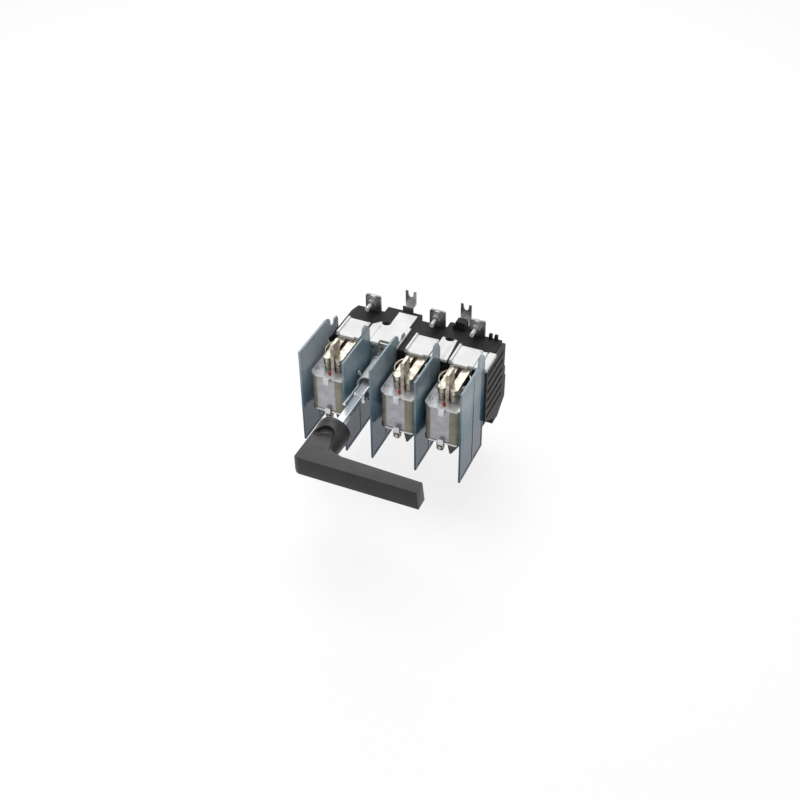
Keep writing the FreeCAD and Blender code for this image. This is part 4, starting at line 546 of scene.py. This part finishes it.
# %% Handle: thumb scoop
SCOOP = Vector((-46, -316.5, 48.0))  # the centre of the crescent, on the scoop's floor
SCOOP_R, SCOOP_ROUND, SCOOP_TALL, SCOOP_LONG, SCOOP_TILT = 14.4, 5.5, 30, 24, 2.0
NEAR = 0.1  # how near a point lies to the crescent's middle lines to count as on them
scoop = round_bar("scoop", SCOOP_R, SCOOP_TALL, SCOOP + Vector((0, 0, SCOOP_TALL / 2)), 64)
start_edit(scoop)
pick(scoop, "EDGE", lambda ends: all(abs(end.z - SCOOP.z) < 0.01 for end in ends))
bevel(SCOOP_ROUND, 8)
pick(scoop, "VERT", lambda spot: spot[0].y < SCOOP.y - NEAR)
shift(0, -SCOOP_LONG, 0)
pick(scoop, "VERT", lambda spot: spot[0].y < SCOOP.y - 10 and spot[0].x < SCOOP.x + NEAR)
shift(-34, 0, 0)
pick(scoop, "VERT", lambda spot: spot[0].y < SCOOP.y - 22 and spot[0].x > SCOOP.x + NEAR)
shift(8, 0, 0)
# On the left the last stretch of the wall swings out of the neck, so that no lip is left there.
pick(scoop, "VERT", lambda spot: spot[0].y > SCOOP.y - 1
     and spot[0].x - SCOOP.x < -0.95 * math.hypot(spot[0].x - SCOOP.x, spot[0].y - SCOOP.y))
shift(-24, -3, 0)
bpy.ops.mesh.select_all(action="SELECT")
rotate(SCOOP_TILT, "X", SCOOP)
end_edit()
floor_at_bar = min(v.co.z / MM for v in scoop.data.vertices if v.co.y / MM < -345)
print("scoop's floor at the bar, mm:", round(floor_at_bar, 1), "top of the bar:", GRIP_TOP)
combine(handle, scoop, "DIFFERENCE")

# %% Handle: shaft socket and edges
SOCKET_HALF, SOCKET_END = 6.1, -300.3
socket = block("socket", (SHAFT_X - SOCKET_HALF, SOCKET_END, SHAFT_Z - SOCKET_HALF),
               (SHAFT_X + SOCKET_HALF, -270, SHAFT_Z + SOCKET_HALF))
combine(handle, socket, "DIFFERENCE")
soften(handle, 0.5, 2, angle=24)
settle(handle, handle_moulding, "operating_shaft", "handle_moulding", "handle")

# %% [markdown]
# Each fuse-link has a label on its front: thin satin foil with round corners and a frame pressed into it. It
# could be a patch in the ceramic's material, but a real label has an edge that catches light. It is modelled
# once and copied to each fuse-link.

# %% Fuse labels
POLES = {number: reach(f"fuse_body_{number}", 0)[1] for number in (1, 2, 3)}
CERAMIC_FRONT, CERAMIC_MIDDLE, _ = reach("fuse_body_1", 1)
label_foil = surface("satin_label_foil", "#B9B8BE", patches=(12, 3, "#B9B8BD", "#CDCCD1"), Metallic=0.35,
                     Roughness=0.42)
pattern = block("label_pattern", (-18.5, CERAMIC_FRONT - 0.25, -16), (11.5, CERAMIC_FRONT + 0.1, 42.5))
start_edit(pattern)
pick(pattern, "EDGE", lambda ends: ends[0].x == ends[1].x and ends[0].z == ends[1].z)
bevel(1.6, 4)
pick(pattern, "FACE", lambda corners: all(corner.y < CERAMIC_FRONT - 0.2 for corner in corners))
inset(1.3, 0)
inset(0.5, -0.12)
end_edit()
for number, pole in POLES.items():
    label = copy_of(pattern, f"fuse_label_{number}")
    start_edit(label)
    shift(pole, 0, 0)
    end_edit()
    settle(label, label_foil, f"fuse_link_{number}", "end_plate")
drop(pattern)

# %% [markdown]
# The end plates are held by slotted cheese-head screws, and the mechanism plate by cross-recessed ones. A head
# is a short cylinder with a rounded rim and one or two grooves cut across it. No two are turned alike, because
# a fitter stops turning where a screw is tight, so each head gets its own grooves instead of being a copy.

# %% Screw heads
HEAD_R = 3.3
RIM, GROOVE_HALF_LONG, GROOVE_HALF_WIDE = 0.22 * HEAD_R, 1.1 * HEAD_R, 0.17 * HEAD_R
SINK = 0.1  # how far a head stands in its plate
UP, DOWN, OUTWARD = 0, 180, -90  # how a head that stands on the origin is tipped about X
screw_steel = surface("bright_zinc_screw", "#B4B5B6", wear=(1, 3, 0.22, 0.36), Metallic=1.0, Roughness=0.28)


def screw_head(name, height, grooves, groove_scale, tipped, foot):
    """A head with grooves at the given angles, tipped and set down with its foot at foot, in mm."""
    head = round_bar(name, HEAD_R, height, (0, 0, height / 2), 32)
    start_edit(head)
    pick(head, "EDGE", lambda ends: all(end.z > height - 0.01 for end in ends))
    bevel(RIM, 3)
    end_edit()
    for angle in grooves:
        groove = block("groove", (-GROOVE_HALF_LONG, -GROOVE_HALF_WIDE, height * 0.5),
                       (GROOVE_HALF_LONG, GROOVE_HALF_WIDE, height * 1.2))
        start_edit(groove)
        rotate(angle, "Z")
        resize(groove_scale, groove_scale, 1)
        end_edit()
        combine(head, groove, "DIFFERENCE")
    start_edit(head)
    rotate(tipped, "X")
    shift(*foot)
    end_edit()
    soften(head, 0.08, 1)
    return head


# %% Screws in the end plates
plate_foot, _, plate_top = reach("fuse_end_plates_1", 2)
CORNERS = ((-24.4, -14, 25), (24.4, -14, -40), (-24.4, 14, 70), (24.4, 14, 5))  # across, along, groove's angle
TURN_ON = 30  # how much further the grooves are turned on each next fuse-link
for number, pole in POLES.items():
    for row, (across, along, angle) in enumerate(CORNERS, 1):
        for place, tipped, high in ((row, UP, plate_top - SINK), (row + 4, DOWN, plate_foot + SINK)):
            screw = screw_head(f"fuse_screw_{number}_{place}", 2.1, (angle + TURN_ON * number,), 1, tipped,
                               (pole + across, CERAMIC_MIDDLE + along, high))
            settle(screw, screw_steel, f"fuse_link_{number}", "zinc_steel")

# %% Screws in the mechanism plate
plate_front = reach("mechanism_plate", 1)[0]
PLATE_SCREWS = ((-53, 54.2, 20), (-61, -35.7, 70), (-33, -35.7, 120))  # across, height, groove's angle
for number, (across, high, angle) in enumerate(PLATE_SCREWS, 1):
    screw = screw_head(f"plate_screw_{number}", 2.2, (angle, angle + 90), 0.6, OUTWARD,
                       (across, plate_front + SINK, high))
    settle(screw, screw_steel, "switch", "zinc_steel")

# %% [markdown]
# Under each lower contact stand a U of bent strip round a rivet, on the left, and a pressed plate that narrows
# downwards, on the right. The plate's dark grey is painted shade, for the shadow it stands in under the fuse-link.
# Strip could be bent with a curve, but at this size a block with a smaller block cut out of it, both with round
# lower corners, gives the same U. All three are modelled once, placed from the middle of a pole and the front of
# its jaw, and copied to each pole.

# %% Clips, rivets and tapered plates
JAW_FRONT = reach("lower_jaw_1", 1)[0]
# The pressed plate's dark grey is painted shade, for the shadow it stands in under the fuse-link.
shaded_plate = surface("painted_shade_spring_steel", "#4A4949", wear=(2, 3, 0.32, 0.48), Metallic=0.9, Roughness=0.4)


def round_bottom(piece, foot, radius):
    """Round the two lower edges that run from front to back."""
    start_edit(piece)
    pick(piece, "EDGE", lambda ends: ends[0].x == ends[1].x and all(end.z < foot + 1 for end in ends))
    bevel(radius, 6)
    end_edit()


clip = block("clip_pattern", (-13.5, JAW_FRONT - 4.5, -48), (-1.5, JAW_FRONT + 1.5, -35))
round_bottom(clip, -48, 4.5)
inside = block("inside", (-12, JAW_FRONT - 7, -46.5), (-3, JAW_FRONT + 4, -30))
round_bottom(inside, -46.5, 3.2)
combine(clip, inside, "DIFFERENCE")
soften(clip, 0.3, 2)

rivet = round_bar("rivet_pattern", 3.4, 6, (-7.5, JAW_FRONT - 2.5, -41.5), 24, along_y=True)
start_edit(rivet)
pick(rivet, "FACE", lambda corners: all(corner.y < JAW_FRONT - 5.4 for corner in corners))
inset(1.1, 0.9)
end_edit()
soften(rivet, 0.3, 2)

wedge = block("wedge_pattern", (3.8, JAW_FRONT - 1.9, -51.5), (21, JAW_FRONT + 0.1, -34.5))
start_edit(wedge)
pick(wedge, "VERT", lambda spot: spot[0].z < -50)
resize(0.16, 1, 1, (8, 0, 0))
pick(wedge, "FACE", lambda corners: all(corner.y < JAW_FRONT - 1.8 for corner in corners))
inset(1.2, -0.5)
end_edit()
soften(wedge, 0.25, 2)

for number, pole in POLES.items():
    for pattern, name, metal, slot in ((clip, "lower_clip", silver_plate, "plated_copper"),
                                       (rivet, "lower_rivet", silver_plate, "plated_copper"),
                                       (wedge, "lower_wedge", shaded_plate, "zinc_steel")):
        piece = copy_of(pattern, f"{name}_{number}")
        start_edit(piece)
        shift(pole, 0, 0)
        end_edit()
        settle(piece, metal, "switch", slot)
for pattern in (clip, rivet, wedge):
    drop(pattern)
